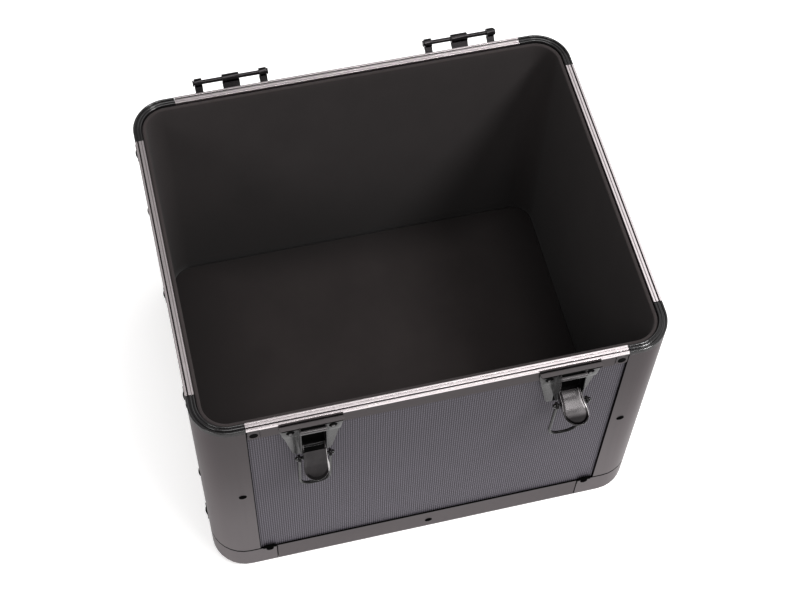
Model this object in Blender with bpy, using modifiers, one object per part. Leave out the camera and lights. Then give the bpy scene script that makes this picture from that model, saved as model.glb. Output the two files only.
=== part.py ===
# Carrying case for twelve-inch records, shown with its lift-off lid taken away.
# Metres, +Z up. The case stands on four rubber feet with its front, where the
# latches are, towards -Y and its two hinge halves at the back.

from math import asin
from math import atan2
from math import cos
from math import hypot
from math import pi
from math import radians
from math import sin

import bmesh
import bpy
from mathutils import Matrix
from mathutils import Vector
from mathutils.geometry import convex_hull_2d
from mathutils.geometry import interpolate_bezier

# Whole case
case_width = 0.355
case_depth = 0.300
case_height = 0.248
corner_radius = 0.028
fit_gap = 0.0003
cut_overrun = 0.002
join_depth = 0.0006
corner_steps = 8
round_steps = 12
edge_steps = 3
flush_step = 0.00005
weld_distance = 0.00001

# Boards
board_thickness = 0.005
panel_setback = 0.0015
tongue_thickness = 0.0037
floor_thickness = 0.006

# Lining
lining_thickness = 0.003
lining_drop = 0.002
lining_edge_round = 0.001

# Aluminium skins, posts and bands
skin_thickness = 0.0012
post_leg = 0.0369
post_web = 0.0012
post_inner_wall = 0.001
band_height = 0.031
band_edge_radius = 0.005
band_foot = 0.018
bottom_corner_leg = 0.050
strip_height = 0.0125

# Rim
rail_width = 0.0065
rail_head_height = 0.0025
rail_body_height = 0.0042
ridge_edge = 0.0002
outer_ridge = 0.0017
outer_groove = 0.0009
outer_groove_depth = 0.0012
middle_ridge = 0.0019
inner_groove = 0.0004
inner_groove_depth = 0.0005
rim_joint_inset = 0.0005
rim_corner_height = 0.004
spigot_overlap = 0.002
spigot_inset = 0.0003

# Riveted tabs
rivet_radius = 0.00315
rivet_height = 0.0009
rivet_rim = 0.0002
rim_tab_width = 0.0090
rim_tab_height = 0.0112
rim_tab_proud = 0.0004
rim_tab_round = 0.0015
rim_rivet_rise = 0.005
foot_tab_width = 0.011
foot_tab_height = 0.013
foot_tab_proud = 0.0006
foot_tab_round = 0.003
foot_tab_rise = 0.0037
foot_rivet_rise = 0.0055
post_rivet_side = 0.028
post_rivet_drop = 0.1094
band_rivet_height = 0.016

# Feet
foot_drop = 0.004
foot_radius = 0.010
foot_taper = 0.001
foot_inset = 0.036
foot_hole_radius = 0.004
foot_hole_depth = 0.0025

# Hinge halves
hinge_inset = 0.0835
hinge_width = 0.0582
leaf_thickness = 0.0015
leaf_bottom_drop = 0.045
leaf_joggle_drop = 0.0205
leaf_joggle_rise = 0.003
leaf_bend_drop = 0.0085
leaf_notch_drop = 0.012
knuckle_radius = 0.0035
knuckle_out = 0.0098
end_knuckle_width = 0.0062
middle_knuckle_width = 0.0137
rod_radius = 0.0018
rod_head_radius = 0.0026
rod_head_length = 0.001
leaf_rivet_side = 0.020
leaf_rivet_low_drop = 0.039
leaf_rivet_high_drop = 0.026

# Latch plates
latch_left_inset = 0.0831
latch_right_inset = 0.0807
plate_thickness = 0.0012
plate_bottom_drop = 0.0535
plate_shoulder_drop = 0.0495
plate_waist_drop = 0.010
plate_top_drop = 0.0033
plate_half_bottom = 0.013
plate_half_shoulder = 0.015
plate_half_top = 0.0235
plate_joggle_drop = 0.0245
plate_joggle_rise = 0.003
lip_out = 0.005
lip_rise = 0.0004
lip_round = 0.0025
plate_rivet_side = 0.0155
plate_rivet_drop = 0.0145
plate_low_rivet_drop = 0.0375
plate_rivet_radius = 0.0028
plate_rivet_dome = 0.0012
ear_outer_side = 0.0099
ear_thickness = 0.001
ear_heel_drop = 0.006
ear_reach = 0.0092
ear_top_drop = 0.0018
bar_out = 0.0075
bar_reach = 0.0026
bar_height = 0.003
bar_half = 0.0096
bar_round = 0.0008

# Latch levers
pivot_out = 0.0036
pivot_drop = 0.0345
pivot_pin_radius = 0.0015
pin_overhang = 0.00005
lever_thickness = 0.0012
lever_half = 0.0095
cheek_outer_side = 0.0086
cheek_thickness = 0.0012
cheek_pivot_radius = 0.003
cheek_bail_radius = 0.0032
blade_top_out = 0.0058
blade_top_rise = 0.0008
blade_bend_out = 0.0104
blade_bend_drop = 0.0138
blade_sweep_out = 0.0145
blade_sweep_drop = 0.0222
blade_turn_out = 0.0120
blade_turn_drop = 0.0174
blade_tip_out = 0.0169
blade_tip_drop = 0.0255
blade_round_drop = 0.0165
blade_widen_drop = 0.009
blade_steps = 8
right_lever_lift = radians(64)

# Bails and their pins
bail_pin_reach = 0.0103
bail_pin_angle = radians(29.5)
bail_pin_radius = 0.0013
ball_radius = 0.0019
ball_length = 0.002
bail_wire_radius = 0.0011
bail_side = 0.0114
bail_length = 0.057
bail_foot_height = 0.012
bail_squareness = 2.3
bail_foot_steps = 16
eye_radius = 0.003
eye_thickness = 0.002
left_bail_lean = radians(5)
right_bail_lean = radians(4)

# Heights and reaches that follow from the sizes above
floor_bottom = skin_thickness + fit_gap
floor_top = floor_bottom + floor_thickness
board_bottom = floor_top + fit_gap
rail_bottom = case_height - rail_head_height - rail_body_height
board_top = rail_bottom - fit_gap
rim_corner_bottom = case_height - rim_corner_height
post_bottom = band_height + fit_gap
post_top = rim_corner_bottom - fit_gap
strip_top = case_height - rail_head_height - fit_gap
strip_bottom = strip_top - strip_height + fit_gap
wall_inside = panel_setback + board_thickness
lining_outside = wall_inside + fit_gap
slot_depth = panel_setback - fit_gap + tongue_thickness + 2 * fit_gap
rim_corner_leg = post_leg - rim_joint_inset
rim_tab_start = post_leg + fit_gap
rim_tab_end = rim_tab_start + rim_tab_width
tongue_reach = corner_radius + fit_gap
post_rivet_height = case_height - post_rivet_drop
hinge_side = case_width / 2 - hinge_inset
leaf_bottom = case_height - leaf_bottom_drop
leaf_joggle_bottom = case_height - leaf_joggle_drop
leaf_bend_height = case_height - leaf_bend_drop
leaf_notch_bottom = case_height - leaf_notch_drop
leaf_rivet_low = case_height - leaf_rivet_low_drop
leaf_rivet_high = case_height - leaf_rivet_high_drop
latch_left_side = case_width / 2 - latch_left_inset
latch_right_side = case_width / 2 - latch_right_inset
plate_bottom = case_height - plate_bottom_drop
plate_shoulder = case_height - plate_shoulder_drop
plate_waist = case_height - plate_waist_drop
plate_top = case_height - plate_top_drop
plate_joggle_bottom = case_height - plate_joggle_drop
plate_rivet_height = case_height - plate_rivet_drop
plate_low_rivet_height = case_height - plate_low_rivet_drop
ear_top = case_height - ear_top_drop
pivot_height = case_height - pivot_drop
ear_bottom = pivot_height - ear_heel_drop

# The case is shifted along Y until the middle of its whole depth, from the
# lifted lever's tip to the backs of the hinge knuckles, lies on the origin
tip_reach = hypot(blade_tip_out, blade_tip_drop)
tip_angle = atan2(blade_tip_out, blade_tip_drop) + right_lever_lift
front_reach = pivot_out + tip_reach * sin(tip_angle) + lever_thickness / 2
back_reach = knuckle_out + knuckle_radius
case_shift = (front_reach - back_reach) / 2

walls = {
    "front": (Vector((0, -case_depth / 2, 0)), 0, case_width),
    "right": (Vector((case_width / 2, 0, 0)), pi / 2, case_depth),
    "back": (Vector((0, case_depth / 2, 0)), pi, case_width),
    "left": (Vector((-case_width / 2, 0, 0)), -pi / 2, case_depth),
}
corners = {
    "front_left": (Vector((-case_width / 2, -case_depth / 2, 0)), 0),
    "front_right": (Vector((case_width / 2, -case_depth / 2, 0)), pi / 2),
    "back_right": (Vector((case_width / 2, case_depth / 2, 0)), pi),
    "back_left": (Vector((-case_width / 2, case_depth / 2, 0)), -pi / 2),
}
facings = {
    "X": Matrix(((0, 0, 1), (1, 0, 0), (0, 1, 0))).to_4x4(),
    "Y": Matrix(((1, 0, 0), (0, 0, -1), (0, 1, 0))).to_4x4(),
    "Z": Matrix.Identity(4),
}


# Scene and collections
def clear_scene():
    for item in list(bpy.data.objects):
        bpy.data.objects.remove(item)


def new_collection(name):
    collection = bpy.data.collections.new(name)
    bpy.context.scene.collection.children.link(collection)
    return collection


clear_scene()
parts = new_collection("record_case")
cutters = new_collection("cutters")
case_frame = bpy.data.objects.new("case_frame", None)
case_frame.location = (0, case_shift, foot_drop)
parts.objects.link(case_frame)


# Materials
def make_material(name, colour, roughness, metallic):
    material = bpy.data.materials.new(name)
    material.use_nodes = True
    shader = material.node_tree.nodes["Principled BSDF"]
    shader.inputs["Base Color"].default_value = (*colour, 1)
    shader.inputs["Roughness"].default_value = roughness
    shader.inputs["Metallic"].default_value = metallic
    return material


panel_skin = make_material("embossed panel", (0.115, 0.115, 0.125), 0.45, 0.3)
grey_trim = make_material("dark anodised aluminium", (0.15, 0.14, 0.145), 0.38, 0.85)
bright_trim = make_material("bright aluminium", (0.80, 0.78, 0.78), 0.22, 1.0)
black_rim = make_material("black plastic", (0.012, 0.012, 0.012), 0.25, 0.0)
black_steel = make_material("black nickel steel", (0.07, 0.068, 0.07), 0.25, 0.9)
lining_foam = make_material("lining", (0.018, 0.016, 0.016), 0.95, 0.0)
plywood = make_material("plywood", (0.46, 0.33, 0.20), 0.7, 0.0)
rubber = make_material("rubber", (0.02, 0.02, 0.02), 0.85, 0.0)


# Outlines
def arc(centre, radius, start, end, steps):
    angles = [start + (end - start) * step / steps for step in range(steps + 1)]
    return [(centre[0] + radius * cos(a), centre[1] + radius * sin(a)) for a in angles]


def rounded_rectangle(width, depth, radius, steps):
    across = width / 2 - radius
    along = depth / 2 - radius
    points = arc((across, along), radius, 0, pi / 2, steps)
    points += arc((-across, along), radius, pi / 2, pi, steps)
    points += arc((-across, -along), radius, pi, 3 * pi / 2, steps)
    points += arc((across, -along), radius, 3 * pi / 2, 2 * pi, steps)
    return points


def moved(points, across, up):
    return [(x + across, y + up) for x, y in points]


# A sheet seen edge on: the line down its middle, thickened to both sides
def ribbon(line, thickness):
    near_side = []
    far_side = []
    for index, point in enumerate(line):
        before = line[max(index - 1, 0)]
        after = line[min(index + 1, len(line) - 1)]
        arriving = Vector((point[0] - before[0], point[1] - before[1]))
        leaving = Vector((after[0] - point[0], after[1] - point[1]))
        if arriving.length == 0:
            arriving = leaving
        if leaving.length == 0:
            leaving = arriving
        middle = (arriving.normalized() + leaving.normalized()).normalized()
        half = thickness / 2 / middle.dot(leaving.normalized())
        near_side.append((point[0] - middle.y * half, point[1] + middle.x * half))
        far_side.append((point[0] + middle.y * half, point[1] - middle.x * half))
    return near_side + far_side[::-1]


# A link plate: the tight band round a set of circles
def link_outline(circles):
    points = []
    for x, y, radius in circles:
        points += arc((x, y), radius, 0, 2 * pi, round_steps)[:-1]
    return [points[index] for index in convex_hull_2d([Vector(p) for p in points])]


# Solids
def link_new(name, data, collection):
    item = bpy.data.objects.new(name, data)
    collection.objects.link(item)
    return item


def outward(mesh):
    work = bmesh.new()
    work.from_mesh(mesh)
    bmesh.ops.remove_doubles(work, verts=work.verts, dist=weld_distance)
    bmesh.ops.recalc_face_normals(work, faces=work.faces)
    work.to_mesh(mesh)
    work.free()
    return mesh


def evaluated_mesh(item):
    bpy.context.view_layer.update()
    graph = bpy.context.evaluated_depsgraph_get()
    return bpy.data.meshes.new_from_object(item.evaluated_get(graph))


def curve_to_solid(curve):
    mesh = outward(evaluated_mesh(curve))
    item = link_new(curve.name, mesh, cutters)
    item.matrix_world = curve.matrix_world
    bpy.data.objects.remove(curve)
    return item


def poly_curve(name, loops, dimensions, closed):
    data = bpy.data.curves.new(name, "CURVE")
    data.dimensions = dimensions
    for loop in loops:
        spline = data.splines.new("POLY")
        spline.points.add(len(loop) - 1)
        for point, place in zip(spline.points, loop):
            point.co = (*Vector(place).to_3d(), 1)
        spline.use_cyclic_u = closed
    return link_new(name, data, cutters)


# A flat outline, with any holes, extruded from start to end along an axis
def prism(name, loops, start, end, facing):
    curve = poly_curve(name, loops, "2D", True)
    curve.data.fill_mode = "BOTH"
    curve.data.extrude = (end - start) / 2
    item = curve_to_solid(curve)
    item.data.transform(facings[facing])
    middle = Vector([(start + end) / 2 * (axis == facing) for axis in "XYZ"])
    item.data.transform(Matrix.Translation(middle))
    return item


# A section, given inward and upward, swept along a level line of points that
# runs clockwise round the case as seen from above
def sweep(name, section, line):
    profile = poly_curve(name + "_section", [section], "2D", True)
    path = poly_curve(name, [line], "3D", False)
    path.data.twist_mode = "Z_UP"
    path.data.bevel_mode = "OBJECT"
    path.data.bevel_object = profile
    path.data.use_fill_caps = True
    item = curve_to_solid(path)
    bpy.data.objects.remove(profile)
    return item


# A profile of radius and height, from the top axis point down, turned about Z
def turned(name, profile, steps):
    data = bpy.data.meshes.new(name)
    edges = [(index, index + 1) for index in range(len(profile) - 1)]
    data.from_pydata([(radius, 0, height) for radius, height in profile], edges, [])
    item = link_new(name, data, cutters)
    screw = item.modifiers.new("Screw", "SCREW")
    screw.steps = steps
    screw.render_steps = steps
    screw.use_merge_vertices = True
    screw.merge_threshold = weld_distance
    mesh = outward(evaluated_mesh(item))
    item.modifiers.remove(screw)
    item.data = mesh
    return item


def box(name, low, high):
    bpy.ops.mesh.primitive_cube_add(size=1)
    item = bpy.context.active_object
    item.name = name
    for owner in list(item.users_collection):
        owner.objects.unlink(item)
    cutters.objects.link(item)
    size = Vector(high) - Vector(low)
    middle = (Vector(high) + Vector(low)) / 2
    item.data.transform(Matrix.Diagonal((*size, 1)))
    item.data.transform(Matrix.Translation(middle))
    return item


def rod_along_x(name, radius, start, end, out, height):
    profile = [(0, end), (radius, end), (radius, start), (0, start)]
    item = turned(name, profile, round_steps)
    item.data.transform(Matrix.Rotation(pi / 2, 4, "Y"))
    item.data.transform(Matrix.Translation((0, -out, height)))
    return item


# A domed rivet head on a face that looks towards -Y, sunk a little into it
def rivet(name, radius, dome, side, out, height):
    crown = dome - rivet_rim
    curve_radius = (radius ** 2 + crown ** 2) / (2 * crown)
    spread = asin(radius / curve_radius)
    angles = [spread * step / edge_steps for step in range(edge_steps + 1)]
    cap = [
        (curve_radius * sin(a), dome - curve_radius * (1 - cos(a)))
        for a in angles
    ]
    cap += [(radius, -join_depth), (0, -join_depth)]
    item = turned(name, cap, round_steps)
    item.data.transform(Matrix.Rotation(pi / 2, 4, "X"))
    item.data.transform(Matrix.Translation((side, -out, height)))
    return item


def combine(target, operation, operand):
    modifier = target.modifiers.new(operation.title(), "BOOLEAN")
    modifier.operation = operation
    modifier.solver = "EXACT"
    modifier.object = operand
    operand.hide_render = True
    operand.display_type = "WIRE"


def bevel_edges(item, radius, chosen):
    work = bmesh.new()
    work.from_mesh(item.data)
    edges = [edge for edge in work.edges if all(chosen(v.co) for v in edge.verts)]
    sharp = [edge for edge in edges if edge.calc_face_angle(0) > radians(60)]
    bmesh.ops.bevel(
        work,
        geom=sharp,
        offset=radius,
        segments=edge_steps,
        profile=0.5,
        affect="EDGES",
    )
    work.to_mesh(item.data)
    work.free()


# The finished solid's mesh, with its modifiers taken in
def finished(item, material):
    mesh = evaluated_mesh(item)
    mesh.name = item.name
    mesh.materials.clear()
    mesh.materials.append(material)
    mesh.polygons.foreach_set("material_index", [0] * len(mesh.polygons))
    mesh.shade_smooth()
    mesh.set_sharp_from_angle(angle=radians(35))
    bpy.data.objects.remove(item)
    return mesh


def place(name, mesh, location, rotation, parent=case_frame):
    item = link_new(name, mesh, parts)
    item.parent = parent
    item.location = location
    item.rotation_euler = rotation
    return item


# Both arms of a corner piece are alike, so one arm is made along the front
# wall and copied to the side wall by swapping X and Y
def swapped_copy(item):
    swap = Matrix(((0, 1, 0), (1, 0, 0), (0, 0, 1))).to_4x4()
    mesh = item.data.copy()
    mesh.transform(swap)
    mesh.flip_normals()
    return link_new(item.name + "_side", mesh, cutters)


def add_to_both_arms(target, operand):
    twin = swapped_copy(operand)
    combine(target, "UNION", operand)
    combine(target, "UNION", twin)


# The way round a corner, clockwise from above, from the end of one arm
def corner_line(leg):
    centre = (corner_radius, corner_radius)
    bend = arc(centre, corner_radius, -pi / 2, -pi, corner_steps)
    return [(leg, 0)] + bend + [(0, leg)]


def straight_line(length):
    return [(length / 2, 0), (-length / 2, 0)]


# Corner posts: an extrusion with two slots that take the boards and a hollow
# between its outer and inner skins
def post_loops():
    centre = (corner_radius, corner_radius)
    outer = arc(centre, corner_radius, -pi / 2, -pi, corner_steps)
    inside_radius = corner_radius - wall_inside
    inner = arc(centre, inside_radius, -pi, -pi / 2, corner_steps)
    lip_start = slot_depth
    outline = [(post_leg, 0)] + outer + [
        (0, post_leg),
        (skin_thickness, post_leg),
        (skin_thickness, corner_radius),
        (lip_start, corner_radius),
        (lip_start, post_leg),
        (wall_inside, post_leg),
    ] + inner + [
        (post_leg, wall_inside),
        (post_leg, lip_start),
        (corner_radius, lip_start),
        (corner_radius, skin_thickness),
        (post_leg, skin_thickness),
    ]
    hollow_outside = corner_radius - skin_thickness
    hollow_inside = inside_radius + post_inner_wall
    web_angle = post_web / hollow_outside
    first = -pi / 2 - web_angle
    last = -pi + web_angle
    hollow = arc(centre, hollow_outside, first, last, corner_steps)
    hollow += arc(centre, hollow_inside, last, first, corner_steps)
    return [outline, hollow]


def build_posts():
    post = prism("post", post_loops(), post_bottom, post_top, "Z")
    side = post_rivet_side
    head = rivet("post_rivet", rivet_radius, rivet_height, side, 0, post_rivet_height)
    add_to_both_arms(post, head)
    mesh = finished(post, grey_trim)
    for name, (corner, turn) in corners.items():
        place("post_" + name, mesh, corner, (0, 0, turn))


# Bottom trim: an L section with a rounded lower edge
def band_section():
    radius = band_edge_radius
    centre = (radius, radius)
    section = [(0, band_height)]
    section += arc(centre, radius, pi, 3 * pi / 2, edge_steps)
    section += [(band_foot, 0), (band_foot, skin_thickness)]
    section += arc(centre, radius - skin_thickness, 3 * pi / 2, pi, edge_steps)
    section += [(skin_thickness, band_height)]
    return section


def build_bottom_bands():
    for name, (middle, turn, length) in walls.items():
        run = length - 2 * (bottom_corner_leg + fit_gap)
        band = sweep("band", band_section(), straight_line(run))
        head = rivet("band_rivet", rivet_radius, rivet_height, 0, 0, band_rivet_height)
        combine(band, "UNION", head)
        mesh = finished(band, grey_trim)
        place("bottom_band_" + name, mesh, middle, (0, 0, turn))


def build_bottom_corners():
    piece = sweep("bottom_corner", band_section(), corner_line(bottom_corner_leg))
    tab_top = band_height + foot_tab_rise
    outline = rounded_rectangle(
        foot_tab_width, foot_tab_height, foot_tab_round, edge_steps
    )
    tab_middle = bottom_corner_leg - join_depth - foot_tab_width / 2
    outline = moved(outline, tab_middle, tab_top - foot_tab_height / 2)
    tab = prism("foot_tab", [outline], -foot_tab_proud, skin_thickness / 2, "Y")
    rivet_z = tab_top - foot_rivet_rise
    head = rivet(
        "foot_rivet", rivet_radius, rivet_height, tab_middle, foot_tab_proud, rivet_z
    )
    add_to_both_arms(piece, tab)
    add_to_both_arms(piece, head)
    mesh = finished(piece, grey_trim)
    for name, (corner, turn) in corners.items():
        place("bottom_corner_" + name, mesh, corner, (0, 0, turn))


# Boards: the side boards stand on the floor board and their edges are thinned
# from inside to tongues that sit in the posts' slots
def build_side_boards():
    for name, (middle, turn, length) in walls.items():
        reach = length / 2 - tongue_reach
        shoulder = length / 2 - post_leg - fit_gap
        tongue_back = panel_setback + tongue_thickness
        outline = [
            (-reach, panel_setback),
            (reach, panel_setback),
            (reach, tongue_back),
            (shoulder, tongue_back),
            (shoulder, wall_inside),
            (-shoulder, wall_inside),
            (-shoulder, tongue_back),
            (-reach, tongue_back),
        ]
        board = prism("board", [outline], board_bottom, board_top, "Z")
        place(name + "_board", finished(board, panel_skin), middle, (0, 0, turn))


def build_floor_board():
    width = case_width - 2 * panel_setback
    depth = case_depth - 2 * panel_setback
    radius = corner_radius - panel_setback
    outline = rounded_rectangle(width, depth, radius, corner_steps)
    board = prism("floor", [outline], floor_bottom, floor_top, "Z")
    edge_radius = band_edge_radius - skin_thickness - fit_gap
    bevel_edges(board, edge_radius, lambda co: co.z < floor_bottom + fit_gap)
    place("floor_board", finished(board, plywood), (0, 0, 0), (0, 0, 0))


# Lining: a pad on the floor board and a ring that follows the walls
def build_lining():
    width = case_width - 2 * lining_outside
    depth = case_depth - 2 * lining_outside
    radius = corner_radius - lining_outside
    outline = rounded_rectangle(width, depth, radius, corner_steps)
    inside = rounded_rectangle(
        width - 2 * lining_thickness,
        depth - 2 * lining_thickness,
        radius - lining_thickness,
        corner_steps,
    )
    pad_top = board_bottom + lining_thickness
    pad = prism("pad", [outline], board_bottom, pad_top, "Z")
    place("lining_floor", finished(pad, lining_foam), (0, 0, 0), (0, 0, 0))
    ring_bottom = pad_top + fit_gap
    ring_top = case_height - lining_drop
    ring = prism("ring", [outline, inside], ring_bottom, ring_top, "Z")
    bevel_edges(ring, lining_edge_round, lambda co: co.z > ring_top - fit_gap)
    place("lining_walls", finished(ring, lining_foam), (0, 0, 0), (0, 0, 0))


# Rim: the rail's head has three ridges, and the black corners carry them on
def rim_head_section(head_height):
    top = case_height
    edge = ridge_edge
    middle_start = outer_ridge + outer_groove
    middle_end = middle_start + middle_ridge
    inner_start = middle_end + inner_groove
    return [
        (0, top - head_height),
        (0, top - edge),
        (edge, top),
        (outer_ridge - edge, top),
        (outer_ridge, top - edge),
        (outer_ridge, top - outer_groove_depth),
        (middle_start, top - outer_groove_depth),
        (middle_start, top - edge),
        (middle_start + edge, top),
        (middle_end - edge, top),
        (middle_end, top - edge),
        (middle_end, top - inner_groove_depth),
        (inner_start, top - inner_groove_depth),
        (inner_start, top - edge),
        (inner_start + edge, top),
        (rail_width - edge, top),
        (rail_width, top - edge),
        (rail_width, top - head_height),
    ]


def build_rim_rails():
    for name, (middle, turn, length) in walls.items():
        run = length - 2 * (rim_corner_leg + fit_gap)
        section = rim_head_section(rail_head_height)
        rail = sweep("rail", section, straight_line(run))
        body_half = length / 2 - rim_tab_end - fit_gap
        body_top = case_height - rail_head_height + join_depth
        body_low = (-body_half, panel_setback, rail_bottom)
        body_high = (body_half, rail_width - ridge_edge, body_top)
        combine(rail, "UNION", box("rail_body", body_low, body_high))
        mesh = finished(rail, bright_trim)
        place("rim_rail_" + name, mesh, middle, (0, 0, turn))


def build_top_strips():
    for name, (middle, turn, length) in walls.items():
        half = length / 2 - rim_tab_end - fit_gap
        low = (-half, 0, strip_bottom)
        high = (half, skin_thickness, strip_top)
        strip = box("strip", low, high)
        mesh = finished(strip, grey_trim)
        place("top_strip_" + name, mesh, middle, (0, 0, turn))


# Rim corner: the ridged bend, and on each arm a spigot that fills the rail's
# end from below and carries the riveted tab outside
def build_rim_corners():
    section = rim_head_section(rim_corner_height)
    piece = sweep("rim_corner", section, corner_line(rim_corner_leg))
    neck_bottom = rim_corner_bottom + fit_gap
    neck_start = rim_corner_leg - spigot_overlap
    spigot_root = rim_tab_start + spigot_inset
    spigot_tip = rim_tab_end - spigot_inset
    spigot_top = strip_top - spigot_inset
    spigot = [
        (neck_start, neck_bottom),
        (spigot_root, neck_bottom),
        (spigot_root, rail_bottom),
        (spigot_tip, rail_bottom),
        (spigot_tip, spigot_top),
        (neck_start, spigot_top),
    ]
    spigot_start = skin_thickness - join_depth
    spigot_end = rail_width - spigot_inset
    arm = prism("spigot", [spigot], spigot_start, spigot_end, "Y")
    tab_bottom = strip_top - rim_tab_height
    round_middle = tab_bottom + rim_tab_round
    near_middle = (rim_tab_start + rim_tab_round, round_middle)
    far_middle = (rim_tab_end - rim_tab_round, round_middle)
    outline = [(rim_tab_start, strip_top)]
    outline += arc(near_middle, rim_tab_round, pi, 3 * pi / 2, edge_steps)
    outline += arc(far_middle, rim_tab_round, 3 * pi / 2, 2 * pi, edge_steps)
    outline.append((rim_tab_end, strip_top))
    tab = prism("rim_tab", [outline], -rim_tab_proud, skin_thickness, "Y")
    tab_middle = (rim_tab_start + rim_tab_end) / 2
    rivet_z = tab_bottom + rim_rivet_rise
    head = rivet(
        "rim_rivet", rivet_radius, rivet_height, tab_middle, rim_tab_proud, rivet_z
    )
    for operand in (arm, tab, head):
        add_to_both_arms(piece, operand)
    mesh = finished(piece, black_rim)
    for name, (corner, turn) in corners.items():
        place("rim_corner_" + name, mesh, corner, (0, 0, turn))


# Rubber feet under the floor board
def build_feet():
    top = floor_bottom - fit_gap
    profile = [
        (0, top),
        (foot_radius, top),
        (foot_radius, 0),
        (foot_radius - foot_taper, -foot_drop),
        (foot_hole_radius, -foot_drop),
        (foot_hole_radius, -foot_drop + foot_hole_depth),
        (0, -foot_drop + foot_hole_depth),
    ]
    mesh = finished(turned("foot", profile, round_steps), rubber)
    for name, (corner, turn) in corners.items():
        inset = Matrix.Rotation(turn, 3, "Z") @ Vector((foot_inset, foot_inset, 0))
        place("foot_" + name, mesh, corner + inset, (0, 0, 0))


# Hinge halves: a leaf with three knuckles on tongues, and the rod they hold.
# The lid's half, which slides off the rod, went with the lid.
def build_hinges():
    low_line = -panel_setback + fit_gap + leaf_thickness / 2
    high_line = fit_gap + leaf_thickness / 2
    joggle_top = leaf_joggle_bottom + leaf_joggle_rise
    knuckle_foot = knuckle_out - knuckle_radius * cos(pi / 4) / 2
    knuckle_side = case_height - knuckle_radius * sin(pi / 4)
    line = [
        (-low_line, leaf_bottom),
        (-low_line, leaf_joggle_bottom),
        (-high_line, joggle_top),
        (-high_line, leaf_bend_height),
        (-knuckle_foot, knuckle_side),
    ]
    half = hinge_width / 2
    leaf = prism("leaf", [ribbon(line, leaf_thickness)], -half, half, "X")
    window_start = middle_knuckle_width / 2
    window_end = half - end_knuckle_width
    for sign in (-1, 1):
        sides = sorted((sign * window_start, sign * window_end))
        low = (sides[0], -knuckle_out - knuckle_radius, leaf_notch_bottom)
        high = (sides[1], cut_overrun, case_height + knuckle_radius)
        combine(leaf, "DIFFERENCE", box("leaf_window", low, high))
    face_out = low_line + leaf_thickness / 2
    for side in (-leaf_rivet_side, leaf_rivet_side):
        for height in (leaf_rivet_low, leaf_rivet_high):
            head = rivet(
                "leaf_rivet", plate_rivet_radius, plate_rivet_dome, side, face_out, height
            )
            combine(leaf, "UNION", head)
    knuckles = [
        (-half, -window_end),
        (-window_start, window_start),
        (window_end, half),
    ]
    for start, end in knuckles:
        inner_start = start + flush_step
        inner_end = end - flush_step
        knuckle = rod_along_x(
            "knuckle", knuckle_radius, inner_start, inner_end, knuckle_out, case_height
        )
        combine(leaf, "UNION", knuckle)
    bore_radius = rod_radius + fit_gap
    bore_end = half + cut_overrun
    bore = rod_along_x(
        "rod_bore", bore_radius, -bore_end, bore_end, knuckle_out, case_height
    )
    combine(leaf, "DIFFERENCE", bore)
    leaf_mesh = finished(leaf, black_steel)

    head_start = half + fit_gap
    head_end = head_start + rod_head_length
    profile = [
        (0, head_end),
        (rod_head_radius, head_end),
        (rod_head_radius, head_start),
        (rod_radius, head_start),
        (rod_radius, -head_start),
        (rod_head_radius, -head_start),
        (rod_head_radius, -head_end),
        (0, -head_end),
    ]
    rod_mesh = finished(turned("rod", profile, round_steps), black_steel)
    middle, turn, length = walls["back"]
    for name, side in (("left", -hinge_side), ("right", hinge_side)):
        at = middle + Vector((side, 0, 0))
        place("hinge_leaf_" + name, leaf_mesh, at, (0, 0, turn))
        at_rod = at + Vector((0, knuckle_out, case_height))
        place("hinge_rod_" + name, rod_mesh, at_rod, (0, pi / 2, 0))


# Latch plate: a stepped sheet with a curled lip, cut to a taper, with two ears
# for the lever's pin and a bar that ties the ears and stops the lever
def plate_sheet():
    low_line = -panel_setback + fit_gap + plate_thickness / 2
    high_line = fit_gap + plate_thickness / 2
    lip_bottom = plate_top - lip_rise - plate_thickness / 2
    line = [
        (-low_line, plate_bottom),
        (-low_line, plate_joggle_bottom),
        (-high_line, plate_joggle_bottom + plate_joggle_rise),
        (-high_line, lip_bottom - plate_thickness / 2),
        (-high_line - plate_thickness / 2, lip_bottom),
        (-lip_out, plate_top - plate_thickness / 2),
    ]
    half = plate_half_top
    sheet = prism("plate", [ribbon(line, plate_thickness)], -half, half, "X")
    taper = [
        (plate_half_bottom, plate_bottom),
        (plate_half_shoulder, plate_shoulder),
        (plate_half_top - ridge_edge, plate_waist),
        (plate_half_top - ridge_edge, plate_top + cut_overrun),
    ]
    taper += [(-side, height) for side, height in reversed(taper)]
    reach = lip_out + cut_overrun
    outline = prism("plate_taper", [taper], -reach, cut_overrun, "Y")
    combine(sheet, "INTERSECT", outline)
    round_side = half - lip_round
    round_out = lip_round - lip_out - ridge_edge
    plan = [(half + cut_overrun, cut_overrun), (half + cut_overrun, round_out)]
    plan += arc((round_side, round_out), lip_round, 0, -pi / 2, edge_steps)
    plan += [(-side, out) for side, out in reversed(plan)]
    low = plate_bottom - cut_overrun
    combine(sheet, "INTERSECT", prism("lip_plan", [plan], low, case_height, "Z"))
    return sheet


def ear_outline():
    low_line = panel_setback - fit_gap - plate_thickness / 2
    high_line = -fit_gap - plate_thickness / 2
    joggle_top = plate_joggle_bottom + plate_joggle_rise
    nose = arc(
        (-pivot_out, pivot_height), ear_reach - pivot_out, pi, 3 * pi / 2, edge_steps
    )
    return [
        (low_line, plate_joggle_bottom),
        (high_line, joggle_top),
        (high_line, ear_top - bar_height),
        (-bar_out, ear_top),
        (-bar_out - bar_reach / 2, ear_top),
        (-bar_out - bar_reach / 2, ear_top - bar_height),
    ] + nose + [
        (low_line, ear_bottom),
    ]


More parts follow.
